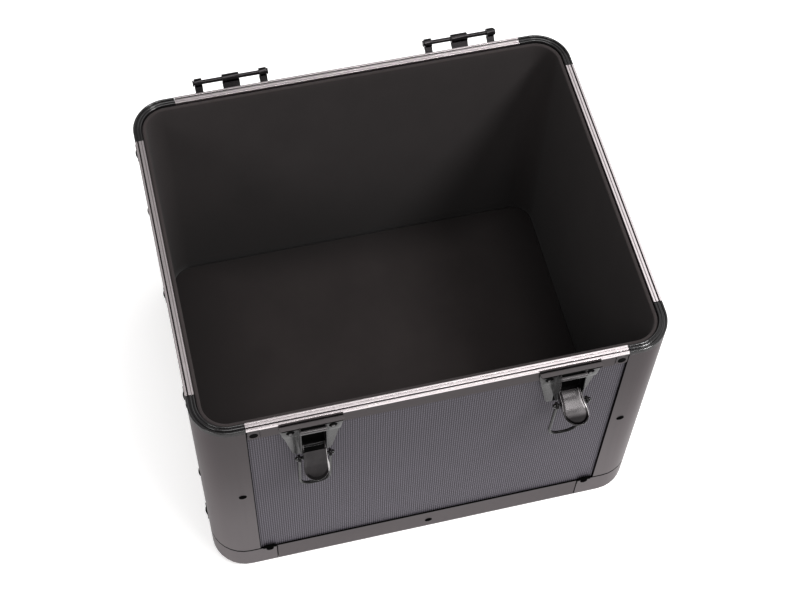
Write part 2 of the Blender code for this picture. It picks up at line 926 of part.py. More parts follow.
def build_latch_plates():
    plate = plate_sheet()
    ear_inner_side = ear_outer_side - ear_thickness
    for start, end in (
        (-ear_outer_side, -ear_inner_side),
        (ear_inner_side, ear_outer_side),
    ):
        combine(plate, "UNION", prism("ear", [ear_outline()], start, end, "X"))
    bar = rounded_rectangle(bar_reach, bar_height, bar_round, edge_steps)
    bar = moved(bar, -bar_out - bar_reach / 2, ear_top - bar_height / 2)
    combine(plate, "UNION", prism("bar", [bar], -bar_half, bar_half, "X"))
    bore_end = ear_outer_side + cut_overrun
    bore_radius = pivot_pin_radius + fit_gap
    bore = rod_along_x(
        "ear_bore", bore_radius, -bore_end, bore_end, pivot_out, pivot_height
    )
    combine(plate, "DIFFERENCE", bore)
    high_face = fit_gap + plate_thickness
    low_face = high_face - panel_setback
    heads = [
        (-plate_rivet_side, high_face, plate_rivet_height),
        (plate_rivet_side, high_face, plate_rivet_height),
        (0, low_face, plate_low_rivet_height),
    ]
    for side, out, height in heads:
        head = rivet(
            "plate_rivet", plate_rivet_radius, plate_rivet_dome, side, out, height
        )
        combine(plate, "UNION", head)
    return finished(plate, black_steel)


# Lever: a blade with a round tip that flares away from the case, and two
# cheeks that carry the bores of its own pin and of the bail's pin.
# Its origin is on its pivot, and it is drawn in the closed position.
def build_lever():
    bail_out = bail_pin_reach * sin(bail_pin_angle)
    bail_drop = bail_pin_reach * cos(bail_pin_angle)
    bend = Vector((-blade_bend_out, -blade_bend_drop, 0))
    turn = Vector((-blade_turn_out, -blade_turn_drop, 0))
    flare = Vector((-blade_sweep_out, -blade_sweep_drop, 0))
    tip = Vector((-blade_tip_out, -blade_tip_drop, 0))
    curve = interpolate_bezier(bend, turn, flare, tip, blade_steps)
    line = [(-blade_top_out, blade_top_rise)] + [(p.x, p.y) for p in curve]
    edge_on = ribbon(line, lever_thickness)
    lever = prism("lever", [edge_on], -lever_half, lever_half, "X")

    tip_end = -blade_tip_drop - lever_thickness / 2
    round_height = -blade_round_drop
    narrow = cheek_outer_side - flush_step
    wide = lever_half - flush_step
    tip_angles = [pi / 2 * step / blade_steps for step in range(blade_steps + 1)]
    front = [
        (narrow, blade_top_rise + cut_overrun),
        (narrow, -blade_widen_drop),
        (wide, -blade_bend_drop),
    ]
    front += [
        (wide * cos(a), round_height + (tip_end - round_height) * sin(a))
        for a in tip_angles
    ]
    front += [(-side, height) for side, height in reversed(front[:-1])]
    reach = blade_tip_out + cut_overrun
    outline = prism("lever_front", [front], -reach, -blade_top_out / 2, "Y")
    combine(lever, "INTERSECT", outline)

    edge = lever_thickness / 2
    cheek = link_outline([
        (0, 0, cheek_pivot_radius),
        (-bail_out, -bail_drop, cheek_bail_radius),
        (-blade_top_out, blade_top_rise - edge, edge / 2),
        (-blade_bend_out, -blade_bend_drop, edge / 2),
    ])
    cheek_inner_side = cheek_outer_side - cheek_thickness
    for start, end in (
        (-cheek_outer_side, -cheek_inner_side),
        (cheek_inner_side, cheek_outer_side),
    ):
        combine(lever, "UNION", prism("cheek", [cheek], start, end, "X"))
    bore_end = lever_half + cut_overrun
    for name, radius, out, drop in (
        ("pivot_bore", pivot_pin_radius + fit_gap, 0, 0),
        ("bail_bore", bail_pin_radius + fit_gap, bail_out, bail_drop),
    ):
        bore = rod_along_x(name, radius, -bore_end, bore_end, out, -drop)
        combine(lever, "DIFFERENCE", bore)
    return finished(lever, black_steel)


def build_pivot_pin():
    end = ear_outer_side + pin_overhang
    pin = rod_along_x("pivot_pin", pivot_pin_radius, -end, end, 0, 0)
    return finished(pin, black_steel)


# The bail's pin ends in balls that keep the bail's eyes on it
def build_bail_pin():
    ball_start = bail_side + bail_wire_radius + fit_gap
    ball_end = ball_start + ball_length
    ball_middle = ball_end - ball_radius
    first = -asin((ball_middle - ball_start) / ball_radius)
    end_cap = arc((0, ball_middle), ball_radius, pi / 2, first, edge_steps)
    profile = end_cap + [(bail_pin_radius, ball_start)]
    profile += [(radius, -height) for radius, height in reversed(profile)]
    profile[0] = (0, ball_end)
    profile[-1] = (0, -ball_end)
    pin = turned("bail_pin", profile, round_steps)
    pin.data.transform(Matrix.Rotation(pi / 2, 4, "Y"))
    return finished(pin, black_steel)


# Bail: a round wire bent to a squarish bow at its foot, and a flat eye on
# each end. Its origin is on the pin, and it hangs straight down.
def build_bail():
    foot = -bail_length + bail_wire_radius
    bow_height = foot + bail_foot_height
    power = 2 / bail_squareness
    line = [(bail_side, -eye_radius / 2), (bail_side, bow_height / 2)]
    for step in range(bail_foot_steps // 2 + 1):
        angle = pi * step / bail_foot_steps
        side = bail_side * cos(angle) ** power
        line.append((side, bow_height - bail_foot_height * sin(angle) ** power))
    line[-1] = (0, foot)
    line += [(-side, height) for side, height in reversed(line[:-1])]
    wire = poly_curve("bail", [[(x, 0, z) for x, z in line]], "3D", False)
    wire.data.bevel_depth = bail_wire_radius
    wire.data.bevel_resolution = 2
    wire.data.use_fill_caps = True
    bail = curve_to_solid(wire)
    for sign in (-1, 1):
        middle = sign * bail_side
        start = middle - eye_thickness / 2
        end = middle + eye_thickness / 2
        combine(bail, "UNION", rod_along_x("eye", eye_radius, start, end, 0, 0))
    bore_end = bail_side + eye_radius
    bore_radius = bail_pin_radius + fit_gap
    bore = rod_along_x("eye_bore", bore_radius, -bore_end, bore_end, 0, 0)
    combine(bail, "DIFFERENCE", bore)
    return finished(bail, black_steel)


def build_latches():
    plate_mesh = build_latch_plates()
    lever_mesh = build_lever()
    pivot_mesh = build_pivot_pin()
    pin_mesh = build_bail_pin()
    bail_mesh = build_bail()
    front = walls["front"][0]
    for name, side, lift, lean in (
        ("left", -latch_left_side, 0, left_bail_lean),
        ("right", latch_right_side, right_lever_lift, right_bail_lean),
    ):
        at = front + Vector((side, 0, 0))
        place("latch_plate_" + name, plate_mesh, at, (0, 0, 0))
        pivot = at + Vector((0, -pivot_out, pivot_height))
        place("lever_pin_" + name, pivot_mesh, pivot, (0, 0, 0))
        place("latch_lever_" + name, lever_mesh, pivot, (-lift, 0, 0))
        angle = bail_pin_angle + lift
        arm = Vector((0, -sin(angle), -cos(angle))) * bail_pin_reach
        place("bail_pin_" + name, pin_mesh, pivot + arm, (0, 0, 0))
        place("latch_bail_" + name, bail_mesh, pivot + arm, (lean, 0, 0))


build_floor_board()
build_side_boards()
build_posts()
build_bottom_bands()
build_bottom_corners()
build_rim_rails()
build_top_strips()
build_rim_corners()
build_lining()
build_feet()
build_hinges()
build_latches()
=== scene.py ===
# Record carrying case without its lift-off lid, dressed for the studio.
# Everything is in metres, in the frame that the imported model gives.
from math import asin, cos, hypot, pi, radians, sin

import bmesh
import bpy
from mathutils import Matrix, Vector, geometry, noise


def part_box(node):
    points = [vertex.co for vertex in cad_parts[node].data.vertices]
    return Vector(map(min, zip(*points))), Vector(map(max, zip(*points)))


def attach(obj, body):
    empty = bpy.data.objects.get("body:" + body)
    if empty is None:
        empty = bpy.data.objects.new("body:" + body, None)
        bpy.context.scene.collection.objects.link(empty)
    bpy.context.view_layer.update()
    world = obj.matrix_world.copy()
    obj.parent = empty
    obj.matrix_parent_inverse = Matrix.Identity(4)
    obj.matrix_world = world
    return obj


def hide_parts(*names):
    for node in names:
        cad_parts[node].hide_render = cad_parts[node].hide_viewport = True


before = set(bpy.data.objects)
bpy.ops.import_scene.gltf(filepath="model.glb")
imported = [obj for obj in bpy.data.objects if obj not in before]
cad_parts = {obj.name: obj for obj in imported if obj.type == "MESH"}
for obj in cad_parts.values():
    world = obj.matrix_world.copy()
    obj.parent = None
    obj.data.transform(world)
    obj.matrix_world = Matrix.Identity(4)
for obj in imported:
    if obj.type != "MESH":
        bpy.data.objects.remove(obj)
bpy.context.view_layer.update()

corners = ("front_left", "front_right", "back_left", "back_right")
sides = ("front", "back", "left", "right")
hands = ("left", "right")

# The outside faces of the case, read off the rails
case = {
    "left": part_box("rim_rail_left")[0].x,
    "right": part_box("rim_rail_right")[1].x,
    "front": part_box("rim_rail_front")[0].y,
    "back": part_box("rim_rail_back")[1].y,
    "bottom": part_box("bottom_band_front")[0].z,
    "top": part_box("rim_rail_front")[1].z,
}
halfWidth = (case["right"] - case["left"]) / 2
halfDepth = (case["back"] - case["front"]) / 2
middleY = (case["back"] + case["front"]) / 2
print("case read from the frame", case)

# Camera, as the photograph was taken: high up, in front and to the left
cameraView = {
    "place": (-0.17669, -0.639276, 1.26832),
    "turn": (30.643, -1.406, -13.635),
    "lens": 72.55,
    "sensor": 36,
    "shiftX": -0.0006,
}


def addCamera(view):
    lens = bpy.data.cameras.new("camera")
    lens.lens = view["lens"]
    lens.sensor_width = view["sensor"]
    lens.shift_x = view["shiftX"]
    camera = bpy.data.objects.new("camera", lens)
    camera.location = view["place"]
    camera.rotation_euler = [radians(angle) for angle in view["turn"]]
    bpy.context.scene.collection.objects.link(camera)
    bpy.context.scene.camera = camera


addCamera(cameraView)
print("camera set")


# Node work that every finish shares
def newFinish(name):
    finish = bpy.data.materials.new(name)
    finish.use_nodes = True
    return finish


def shaderOf(finish):
    return finish.node_tree.nodes["Principled BSDF"]


def addNode(finish, kind, **settings):
    node = finish.node_tree.nodes.new("ShaderNode" + kind)
    for setting, value in settings.items():
        setattr(node, setting, value)
    return node


def join(finish, source, socket):
    if isinstance(source, bpy.types.NodeSocket):
        finish.node_tree.links.new(source, socket)
    else:
        socket.default_value = source


# The shader's sockets, each with the node output or the plain value it gets
def feedShader(finish, sources):
    for name, source in sources.items():
        join(finish, source, shaderOf(finish).inputs[name])


def calc(finish, operation, first, second=0.0, third=0.0):
    node = addNode(finish, "Math", operation=operation)
    for index, source in enumerate((first, second, third)):
        join(finish, source, node.inputs[index])
    return node.outputs[0]


# One operation worked along a row of masks
def chain(finish, operation, *masks):
    total = masks[0]
    for mask in masks[1:]:
        total = calc(finish, operation, total, mask)
    return total


def fade(finish, value, start, end):
    node = addNode(finish, "MapRange", interpolation_type="SMOOTHSTEP")
    join(finish, value, node.inputs["Value"])
    node.inputs["From Min"].default_value = start
    node.inputs["From Max"].default_value = end
    return node.outputs["Result"]


# A mask that comes in over one pair of places and goes out over another
def band(finish, value, rise, fall):
    return calc(finish, "MULTIPLY", fade(finish, value, *rise), fade(finish, value, *fall))


def blendColours(finish, share, low, high):
    node = addNode(finish, "Mix", data_type="RGBA")
    join(finish, share, node.inputs[0])
    join(finish, low, node.inputs[6])
    join(finish, high, node.inputs[7])
    return node.outputs[2]


def blendValues(finish, share, low, high):
    node = addNode(finish, "Mix", data_type="FLOAT")
    join(finish, share, node.inputs[0])
    join(finish, low, node.inputs[2])
    join(finish, high, node.inputs[3])
    return node.outputs[0]


def objectPlace(finish):
    return addNode(finish, "TexCoord").outputs["Object"]


def splitPlace(finish):
    node = addNode(finish, "SeparateXYZ")
    join(finish, objectPlace(finish), node.inputs[0])
    return node.outputs


def stretchedPlace(finish, stretch):
    node = addNode(finish, "Mapping")
    join(finish, objectPlace(finish), node.inputs["Vector"])
    node.inputs["Scale"].default_value = stretch
    return node.outputs[0]


def speckle(finish, place, scale, detail, rough=0.5):
    node = addNode(finish, "TexNoise")
    join(finish, place, node.inputs["Vector"])
    node.inputs["Scale"].default_value = scale
    node.inputs["Detail"].default_value = detail
    node.inputs["Roughness"].default_value = rough
    return node.outputs["Fac"]


def grain(finish, scale, detail, rough=0.5, stretch=(1, 1, 1)):
    return speckle(finish, stretchedPlace(finish, stretch), scale, detail, rough)


# A smooth wave between 0 and 1, once in every pitch
def ripple(finish, value, pitch):
    turn = calc(finish, "MULTIPLY", value, 2 * pi / pitch)
    return calc(finish, "MULTIPLY_ADD", calc(finish, "COSINE", turn), 0.5, 0.5)


def reachFrom(finish, first, second):
    squares = calc(finish, "MULTIPLY_ADD", first, first, calc(finish, "MULTIPLY", second, second))
    return calc(finish, "SQRT", squares)


def addBump(finish, height, strength, distance, under=None):
    node = addNode(finish, "Bump")
    node.inputs["Strength"].default_value = strength
    node.inputs["Distance"].default_value = distance
    join(finish, height, node.inputs["Height"])
    if under is not None:
        join(finish, under, node.inputs["Normal"])
    return node.outputs[0]


# The colour comes ready; a look's two roughnesses follow one grain, and its
# bump another
def dress(finish, look, colour, gloss, relief, under=None):
    feedShader(finish, {
        "Base Color": colour,
        "Roughness": blendValues(finish, gloss, *look["roughness"]),
        "Normal": addBump(finish, relief, *look["bump"], under),
        "Metallic": look.get("metallic", 0.0),
        "Specular IOR Level": look.get("specular", 0.5),
    })
    return finish


# Studio: a white floor, a bright card overhead, a key lamp from the right that
# casts the soft shadows, a weak fill from the front left, and a small lamp in
# front that the lifted lever mirrors
studio = {
    "floorSize": 12.0,
    "floorWhite": (0.80, 0.80, 0.80, 1),
    "floorRoughness": 0.7,
    "floorSpecular": 0.2,
    "floorGlow": 0.54,
    "worldWhite": (1.0, 0.99, 0.985, 1),
    "worldStrength": 0.38,
    "aim": (0, 0, 0.12),
    "lamps": [
        {"name": "card", "place": (0.95, 1.05, 2.40), "size": 1.3, "power": 6},
        {"name": "key", "place": (1.07, -0.88, 2.10), "size": 0.6, "power": 48},
        {"name": "top", "place": (0.10, 0.05, 2.20), "size": 0.9, "power": 12},
        {"name": "fill", "place": (-1.70, -1.20, 2.00), "size": 1.0, "power": 16},
        {"name": "front", "place": (0.38, -0.98, 2.20), "size": 0.36, "power": 8},
    ],
}


def addFloor(settings):
    half = settings["floorSize"] / 2
    mesh = bpy.data.meshes.new("floor")
    points = [(-half, -half, 0), (half, -half, 0), (half, half, 0), (-half, half, 0)]
    mesh.from_pydata(points, [], [(0, 1, 2, 3)])
    floor = bpy.data.objects.new("studioFloor", mesh)
    bpy.context.scene.collection.objects.link(floor)
    paint = newFinish("studio white")
    feedShader(paint, {
        "Base Color": settings["floorWhite"],
        "Roughness": settings["floorRoughness"],
        "Specular IOR Level": settings["floorSpecular"],
        "Emission Color": settings["worldWhite"],
        "Emission Strength": settings["floorGlow"],
    })
    mesh.materials.append(paint)


def addLamps(settings):
    target = Vector(settings["aim"])
    for lamp in settings["lamps"]:
        data = bpy.data.lights.new(lamp["name"], "AREA")
        data.shape = "DISK"
        data.size = lamp["size"]
        data.energy = lamp["power"]
        item = bpy.data.objects.new(lamp["name"], data)
        item.location = lamp["place"]
        aim = target - Vector(lamp["place"])
        item.rotation_euler = aim.to_track_quat("-Z", "Y").to_euler()
        bpy.context.scene.collection.objects.link(item)


def addWorld(settings):
    world = bpy.data.worlds.new("studio")
    world.use_nodes = True
    glow = world.node_tree.nodes["Background"]
    glow.inputs["Color"].default_value = settings["worldWhite"]
    glow.inputs["Strength"].default_value = settings["worldStrength"]
    bpy.context.scene.world = world


addFloor(studio)
addLamps(studio)
addWorld(studio)
bpy.context.scene.view_settings.view_transform = "Standard"
print("studio set")


# Mesh work that the new pieces share
def anglesRound(count):
    return [2 * pi * step / count for step in range(count)]


def addPiece(name, work, sharpAngle, *finishes):
    bmesh.ops.recalc_face_normals(work, faces=work.faces)
    mesh = bpy.data.meshes.new(name)
    work.to_mesh(mesh)
    work.free()
    for finish in finishes:
        mesh.materials.append(finish)
    mesh.shade_smooth()
    if sharpAngle:
        mesh.set_sharp_from_angle(angle=radians(sharpAngle))
    piece = bpy.data.objects.new(name, mesh)
    bpy.context.scene.collection.objects.link(piece)
    return piece


# Faces between each row of points and the next; a closed row also has the face
# from its last point back to its first
def joinRows(work, rows, closed=True):
    faces = []
    for first, second in zip(rows, rows[1:]):
        for step in range(len(first) if closed else len(first) - 1):
            after = (step + 1) % len(first)
            faces.append(work.faces.new((first[step], first[after], second[after], second[step])))
    return faces


def breakEdges(work, faces, width):
    edges = [edge for face in faces for edge in face.edges]
    bmesh.ops.bevel(work, geom=edges, offset=width, segments=2, profile=0.5, affect="EDGES")


# A piece is drawn round its own pin, then turned and moved onto that pin
def hangOnPin(work, pin, degrees):
    place = Matrix.Translation(middleOf(pin)) @ Matrix.Rotation(radians(degrees), 4, "X")
    bmesh.ops.transform(work, matrix=place, verts=work.verts)


def middleOf(node):
    low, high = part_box(node)
    return (low + high) / 2


# The four corners of the case are alike, so a corner's masks are drawn once:
# along runs from the corner down either arm, and depth goes inward
def foldCorners(finish):
    x, y, z = splitPlace(finish)
    fromSide = calc(finish, "SUBTRACT", halfWidth, calc(finish, "ABSOLUTE", x))
    level = calc(finish, "SUBTRACT", y, middleY)
    fromFront = calc(finish, "SUBTRACT", halfDepth, calc(finish, "ABSOLUTE", level))
    along = calc(finish, "MAXIMUM", fromSide, fromFront)
    depth = calc(finish, "MINIMUM", fromSide, fromFront)
    return along, depth, z


def roundSpot(finish, along, height, middle, radius, soft=0.0002):
    first = calc(finish, "SUBTRACT", along, middle[0])
    second = calc(finish, "SUBTRACT", height, middle[1])
    return fade(finish, reachFrom(finish, first, second), radius + soft, radius - soft)


def setFinish(names, finish):
    for name in names:
        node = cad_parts[name]
        for slot in node.material_slots:
            slot.material = finish


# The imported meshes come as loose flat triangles, so each gets its corners
# welded, its curved faces smoothed and its sharp edges broken a little
edgeBreaks = {
    "post_": 0.00015,
    "bottom_band_": 0.00015,
    "bottom_corner_": 0.00015,
    "top_strip_": 0.00010,
    "rim_rail_": 0.00007,
    "rim_corner_": 0.00007,
    "latch_plate_": 0.00018,
    "latch_lever_": 0.00030,
    "lever_pin_": 0.00015,
    "bail_pin_": 0.0,
    "latch_bail_": 0.0,
    "hinge_leaf_": 0.00018,
    "hinge_rod_": 0.00015,
    "foot_": 0.0003,
    "floor_board": 0.0003,
    **{side + "_board": 0.0001 for side in sides},
}
edgeWork = {
    "weldDistance": 0.000002,
    "segments": 2,
    "sharpAngle": 36,
    "evenness": 100,
}


def weldGroup(distance):
    group = bpy.data.node_groups.new("weldAndSmooth", "GeometryNodeTree")
    group.interface.new_socket("Geometry", in_out="INPUT", socket_type="NodeSocketGeometry")
    group.interface.new_socket("Geometry", in_out="OUTPUT", socket_type="NodeSocketGeometry")
    start = group.nodes.new("NodeGroupInput")
    weld = group.nodes.new("GeometryNodeMergeByDistance")
    weld.inputs["Distance"].default_value = distance
    clear = group.nodes.new("GeometryNodeRemoveAttribute")
    clear.inputs["Name"].default_value = "custom_normal"
    smooth = group.nodes.new("GeometryNodeSetShadeSmooth")
    end = group.nodes.new("NodeGroupOutput")
    row = [start, weld, clear, smooth, end]
    for first, second in zip(row, row[1:]):
        group.links.new(first.outputs[0], second.inputs[0])
    return group


def softenNodes(widths, settings):
    group = weldGroup(settings["weldDistance"])
    for name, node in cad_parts.items():
        for start, width in widths.items():
            if not name.startswith(start):
                continue
            node.modifiers.new("weld", "NODES").node_group = group
            if width:
                bevel = node.modifiers.new("edgeBreak", "BEVEL")
                bevel.width = width
                bevel.segments = settings["segments"]
                bevel.limit_method = "ANGLE"
                bevel.angle_limit = radians(settings["sharpAngle"])
                bevel.use_clamp_overlap = False
            normals = node.modifiers.new("evenNormals", "WEIGHTED_NORMAL")
            normals.weight = settings["evenness"]
            normals.keep_sharp = False


softenNodes(edgeBreaks, edgeWork)
print("edges broken")

# Embossed panel: fine ribs with faint rows across them, in a dark grey skin, painted darker towards
# the top as painted shade
panelLook = {
    "high": (0.132, 0.121, 0.143, 1),
    "low": (0.0155, 0.0142, 0.0168, 1),
    "highShade": 0.65,
    "lowShade": 1.0,
    "pitch": 0.00175,
    "rowPitch": 0.0035,
    "betweenRows": 0.62,
    "hazeScale": 30,
    "haze": 0.25,
    "fineScale": 2200,
    "fineBump": (0.08, 0.0001),
    "bump": (0.55, 0.00025),
    "roughness": (0.36, 0.52),
    "metallic": 0.15,
    "specular": 0.08,
    "grazing": (0.5, 0.45, 0.55, 1),
}


def embossedPanel(look):
    finish = newFinish("embossed panel")
    x, y, z = splitPlace(finish)
    ribs = ripple(finish, calc(finish, "ADD", x, y), look["pitch"])
    rows = ripple(finish, z, look["rowPitch"])
    pips = calc(finish, "MULTIPLY", ribs, blendValues(finish, rows, look["betweenRows"], 1.0))
    haze = grain(finish, look["hazeScale"], 3)
    shade = calc(finish, "MULTIPLY_ADD", calc(finish, "SUBTRACT", haze, 0.5), look["haze"], pips)
    # Painted shade: the colour darkens towards the case's top
    height = fade(finish, z, case["bottom"], case["top"])
    light = blendValues(finish, height, look["lowShade"], look["highShade"])
    shade = calc(finish, "MULTIPLY", shade, light)
    relief = addBump(finish, grain(finish, look["fineScale"], 2), *look["fineBump"])
    feedShader(finish, {"Specular Tint": look["grazing"]})
    colour = blendColours(finish, shade, look["low"], look["high"])
    return dress(finish, look, colour, haze, pips, relief)


setFinish([side + "_board" for side in sides], embossedPanel(panelLook))
print("panels finished")

# Dark anodised aluminium: drawn along its length, with black rivet heads and
# thin black lines of painted shadow in the joints; its colours darken towards
# the top as painted shade. A rivet is its place along the arm,
# its height and its radius; a seam is where its black starts and where it is full.
trimLook = {
    "pale": (0.145, 0.136, 0.139, 1),
    "dark": (0.100, 0.094, 0.096, 1),
    "shadedTopPale": (0.064, 0.0598, 0.061, 1),
    "shadedTopDark": (0.043, 0.0402, 0.041, 1),
    "grazing": (0.52, 0.495, 0.50, 1),
    "black": (0.002, 0.002, 0.002, 1),
    "roughness": (0.28, 0.40),
    "blackRoughness": 0.45,
    "metallic": 0.9,
    "specular": 0.3,
    "lineScale": 900,
    "cloudScale": 14,
    "bump": (0.12, 0.0001),
}
# Painted shade: the bands take a darker copy of the trim's colours
shadedBandLook = dict(trimLook, pale=(0.108, 0.101, 0.103, 1), dark=(0.074, 0.0693, 0.071, 1))
rivets = {
    "post": (0.028, 0.1426, 0.00315),
    "foot": (0.0439, 0.0332, 0.00315),
    "wideBand": (halfWidth, 0.020, 0.00315),
    "deepBand": (halfDepth, 0.020, 0.00315),
}
jointShadows = {
    "post": [("along", 0.0359, 0.0364), ("height", 0.0368, 0.0362)],
    "foot": [("along", 0.0491, 0.0496), ("height", 0.0340, 0.0345)],
    "band": [("height", 0.0343, 0.0348)],
}
drawnUp, drawnLevel, pressed = (1, 1, 0.02), (0.02, 0.02, 1), (0.3, 0.3, 0.3)


def anodised(name, look, stretch, heads=(), shadedJoints=()):
    finish = newFinish(name)
    along, depth, z = foldCorners(finish)
    drawn = grain(finish, look["lineScale"], 3, stretch=stretch)
    mix = blendValues(finish, 0.5, grain(finish, look["cloudScale"], 2), drawn)
    # Painted shade: the colours darken towards the case's top
    height = fade(finish, z, case["bottom"], case["top"])
    pale = blendColours(finish, height, look["pale"], look["shadedTopPale"])
    dark = blendColours(finish, height, look["dark"], look["shadedTopDark"])
    colour = blendColours(finish, mix, dark, pale)
    rough = blendValues(finish, mix, *look["roughness"])
    metallic, specular = look["metallic"], look["specular"]
    marks = [roundSpot(finish, along, z, (middle, up), radius) for middle, up, radius in heads]
    # Painted shadow: thin black lines along the joints between the parts
    for kind, start, end in shadedJoints:
        marks.append(fade(finish, along if kind == "along" else z, start, end))
    if marks:
        black = chain(finish, "MAXIMUM", *marks)
        colour = blendColours(finish, black, colour, look["black"])
        rough = blendValues(finish, black, rough, look["blackRoughness"])
        metallic = blendValues(finish, black, metallic, 0.0)
        specular = blendValues(finish, black, specular, 0.0)
    feedShader(finish, {
        "Base Color": colour,
        "Roughness": rough,
        "Metallic": metallic,
        "Specular IOR Level": specular,
        "Specular Tint": look["grazing"],
        "Normal": addBump(finish, drawn, *look["bump"]),
    })
    return finish


postFinish = anodised("drawn grey post", trimLook, drawnUp, [rivets["post"]], jointShadows["post"])
wideBand = anodised("drawn grey band", shadedBandLook, drawnLevel, [rivets["wideBand"]], jointShadows["band"])
deepBand = anodised(
    "drawn grey short band", shadedBandLook, drawnLevel, [rivets["deepBand"]], jointShadows["band"]
)
cornerFinish = anodised("pressed grey corner", trimLook, pressed, [rivets["foot"]], jointShadows["foot"])
stripFinish = anodised("drawn grey strip", trimLook, drawnLevel)
setFinish(["post_" + corner for corner in corners], postFinish)
setFinish(["bottom_band_front", "bottom_band_back"], wideBand)
setFinish(["bottom_band_left", "bottom_band_right"], deepBand)
setFinish(["bottom_corner_" + corner for corner in corners], cornerFinish)
setFinish(["top_strip_" + side for side in sides], stripFinish)
print("grey trim finished")

# Bright rails: extruded aluminium, with the fine lines of the die along it, and
# grooves painted dark as painted shade. A groove is its start and end inward, its drop and how dark
# its painted shade is.
railLook = {
    "pale": (0.66, 0.605, 0.615, 1),
    "dark": (0.46, 0.420, 0.427, 1),
    "grooveShade": (0.02, 0.018, 0.018, 1),
    "grooves": [(0.0017, 0.0026, 0.0004, 1.0), (0.0045, 0.0049, 0.0002, 0.35)],
    "grooveSoft": 0.00005,
    "lineScale": 1500,
    "lineStretch": 0.004,
    "cloudScale": 18,
    "roughness": (0.22, 0.34),
    "metallic": 1.0,
    "bump": (0.05, 0.0001),
}


def grooveShadeMask(finish, depth, z, look):
    soft = look["grooveSoft"]
    masks = []
    for start, end, drop, weight in look["grooves"]:
        inside = band(finish, depth, (start - soft, start + soft), (end + soft, end - soft))
        below = fade(finish, z, case["top"] - drop / 2, case["top"] - drop)
        masks.append(chain(finish, "MULTIPLY", inside, below, weight))
    return chain(finish, "MAXIMUM", *masks)


def dieLines(finish, along, depth, z, look):
    place = addNode(finish, "CombineXYZ")
    join(finish, calc(finish, "MULTIPLY", along, look["lineStretch"]), place.inputs["X"])
    join(finish, depth, place.inputs["Y"])
    join(finish, z, place.inputs["Z"])
    return speckle(finish, place.outputs[0], look["lineScale"], 2)


def brightRail(look):
    finish = newFinish("bright extruded rail")
    along, depth, z = foldCorners(finish)
    lines = dieLines(finish, along, depth, z, look)
    mix = blendValues(finish, 0.6, grain(finish, look["cloudScale"], 2), lines)
    metal = blendColours(finish, mix, look["dark"], look["pale"])
    # Painted shade in the grooves, below half their drop
    black = grooveShadeMask(finish, depth, z, look)
    colour = blendColours(finish, black, metal, look["grooveShade"])
    return dress(finish, look, colour, lines, lines)


setFinish(["rim_rail_" + side for side in sides], brightRail(railLook))
print("rails finished")

# Rim corners: glossy black bends that carry three crowned ridges round, each
# with two grey riveted tabs. Sizes run along an arm and inward from its face.
rimShape = {
    "leg": 0.0364,
    "radius": 0.028,
    "depth": 0.0065,
    "height": 0.0040,
    "ridges": [(0.0, 0.0017), (0.0026, 0.0045), (0.0049, 0.0065)],
    "crown": 0.00055,
    "grooveDrops": [0.0013, 0.0008],
    "grooveInset": 0.00002,
    "bendSteps": 28,
    "crownSteps": 8,
    "roundSteps": 6,
    "tabStart": 0.0372,
    "tabEnd": 0.0462,
    "tabTop": 0.2492,
    "tabBottom": 0.2380,
    "tabProud": 0.0004,
    "tabInside": 0.0012,
    "tabRound": 0.0015,
    "tabBreak": 0.00015,
    "rivetHeight": 0.2430,
    "rivetRadius": 0.00315,
    "rivetDome": 0.0009,
    "rivetCrown": 0.78,
    "rivetSunk": 0.0003,
    "spigot": (0.0375, 0.0459, 0.0012, 0.0062, 0.2456, 0.2489),
    "sharpAngle": 48,
}
rimSlots = {"bend": 0, "tab": 1, "rivet": 2, "skirt": 3}
rimLook = {
    "black": (0.004, 0.0037, 0.004, 1),
    "sheen": (0.010, 0.0093, 0.0098, 1),
    "hazeScale": 160,
    "fineScale": 2600,
    "roughness": (0.10, 0.18),
    "specular": 0.55,
    "bump": (0.03, 0.0002),
}
dullLooks = {
    "rivet": {"dark": (0.002, 0.002, 0.002, 1), "pale": (0.008, 0.008, 0.008, 1), "specular": 0.0},
    "skirt": {
        "dark": (0.010, 0.0093, 0.0095, 1),
        "pale": (0.020, 0.0187, 0.019, 1),
        "specular": 0.15,
    },
}


def glossBlack(look):
    finish = newFinish("black rim corner")
    haze = grain(finish, look["hazeScale"], 4)
    fine = grain(finish, look["fineScale"], 2)
    colour = blendColours(finish, haze, look["black"], look["sheen"])
    return dress(finish, look, colour, fine, haze)


def dullBlack(name, look):
    finish = newFinish(name)
    fine = grain(finish, 1800, 3)
    feedShader(finish, {
        "Base Color": blendColours(finish, fine, look["dark"], look["pale"]),
        "Roughness": blendValues(finish, fine, 0.38, 0.5),
        "Specular IOR Level": look["specular"],
    })
    return finish


def ridgeSection(shape):
    section = [(0.0, -shape["height"])]
    inset, steps = shape["grooveInset"], shape["crownSteps"]
    for index, (start, end) in enumerate(shape["ridges"]):
        middle, half = (start + end) / 2, (end - start) / 2
        for step in range(steps + 1):
            angle = pi * step / steps - pi / 2
            section.append((middle + half * sin(angle), shape["crown"] * (cos(angle) - 1)))
        if index < len(shape["grooveDrops"]):
            drop = shape["grooveDrops"][index]
            section += [(end + inset, -drop), (shape["ridges"][index + 1][0] - inset, -drop)]
    section.append((shape["depth"], -shape["height"]))
    return section


def cornerFrame(corner):
    signX = 1 if corner.endswith("right") else -1
    signY = 1 if corner.startswith("back") else -1
    return signX, signY


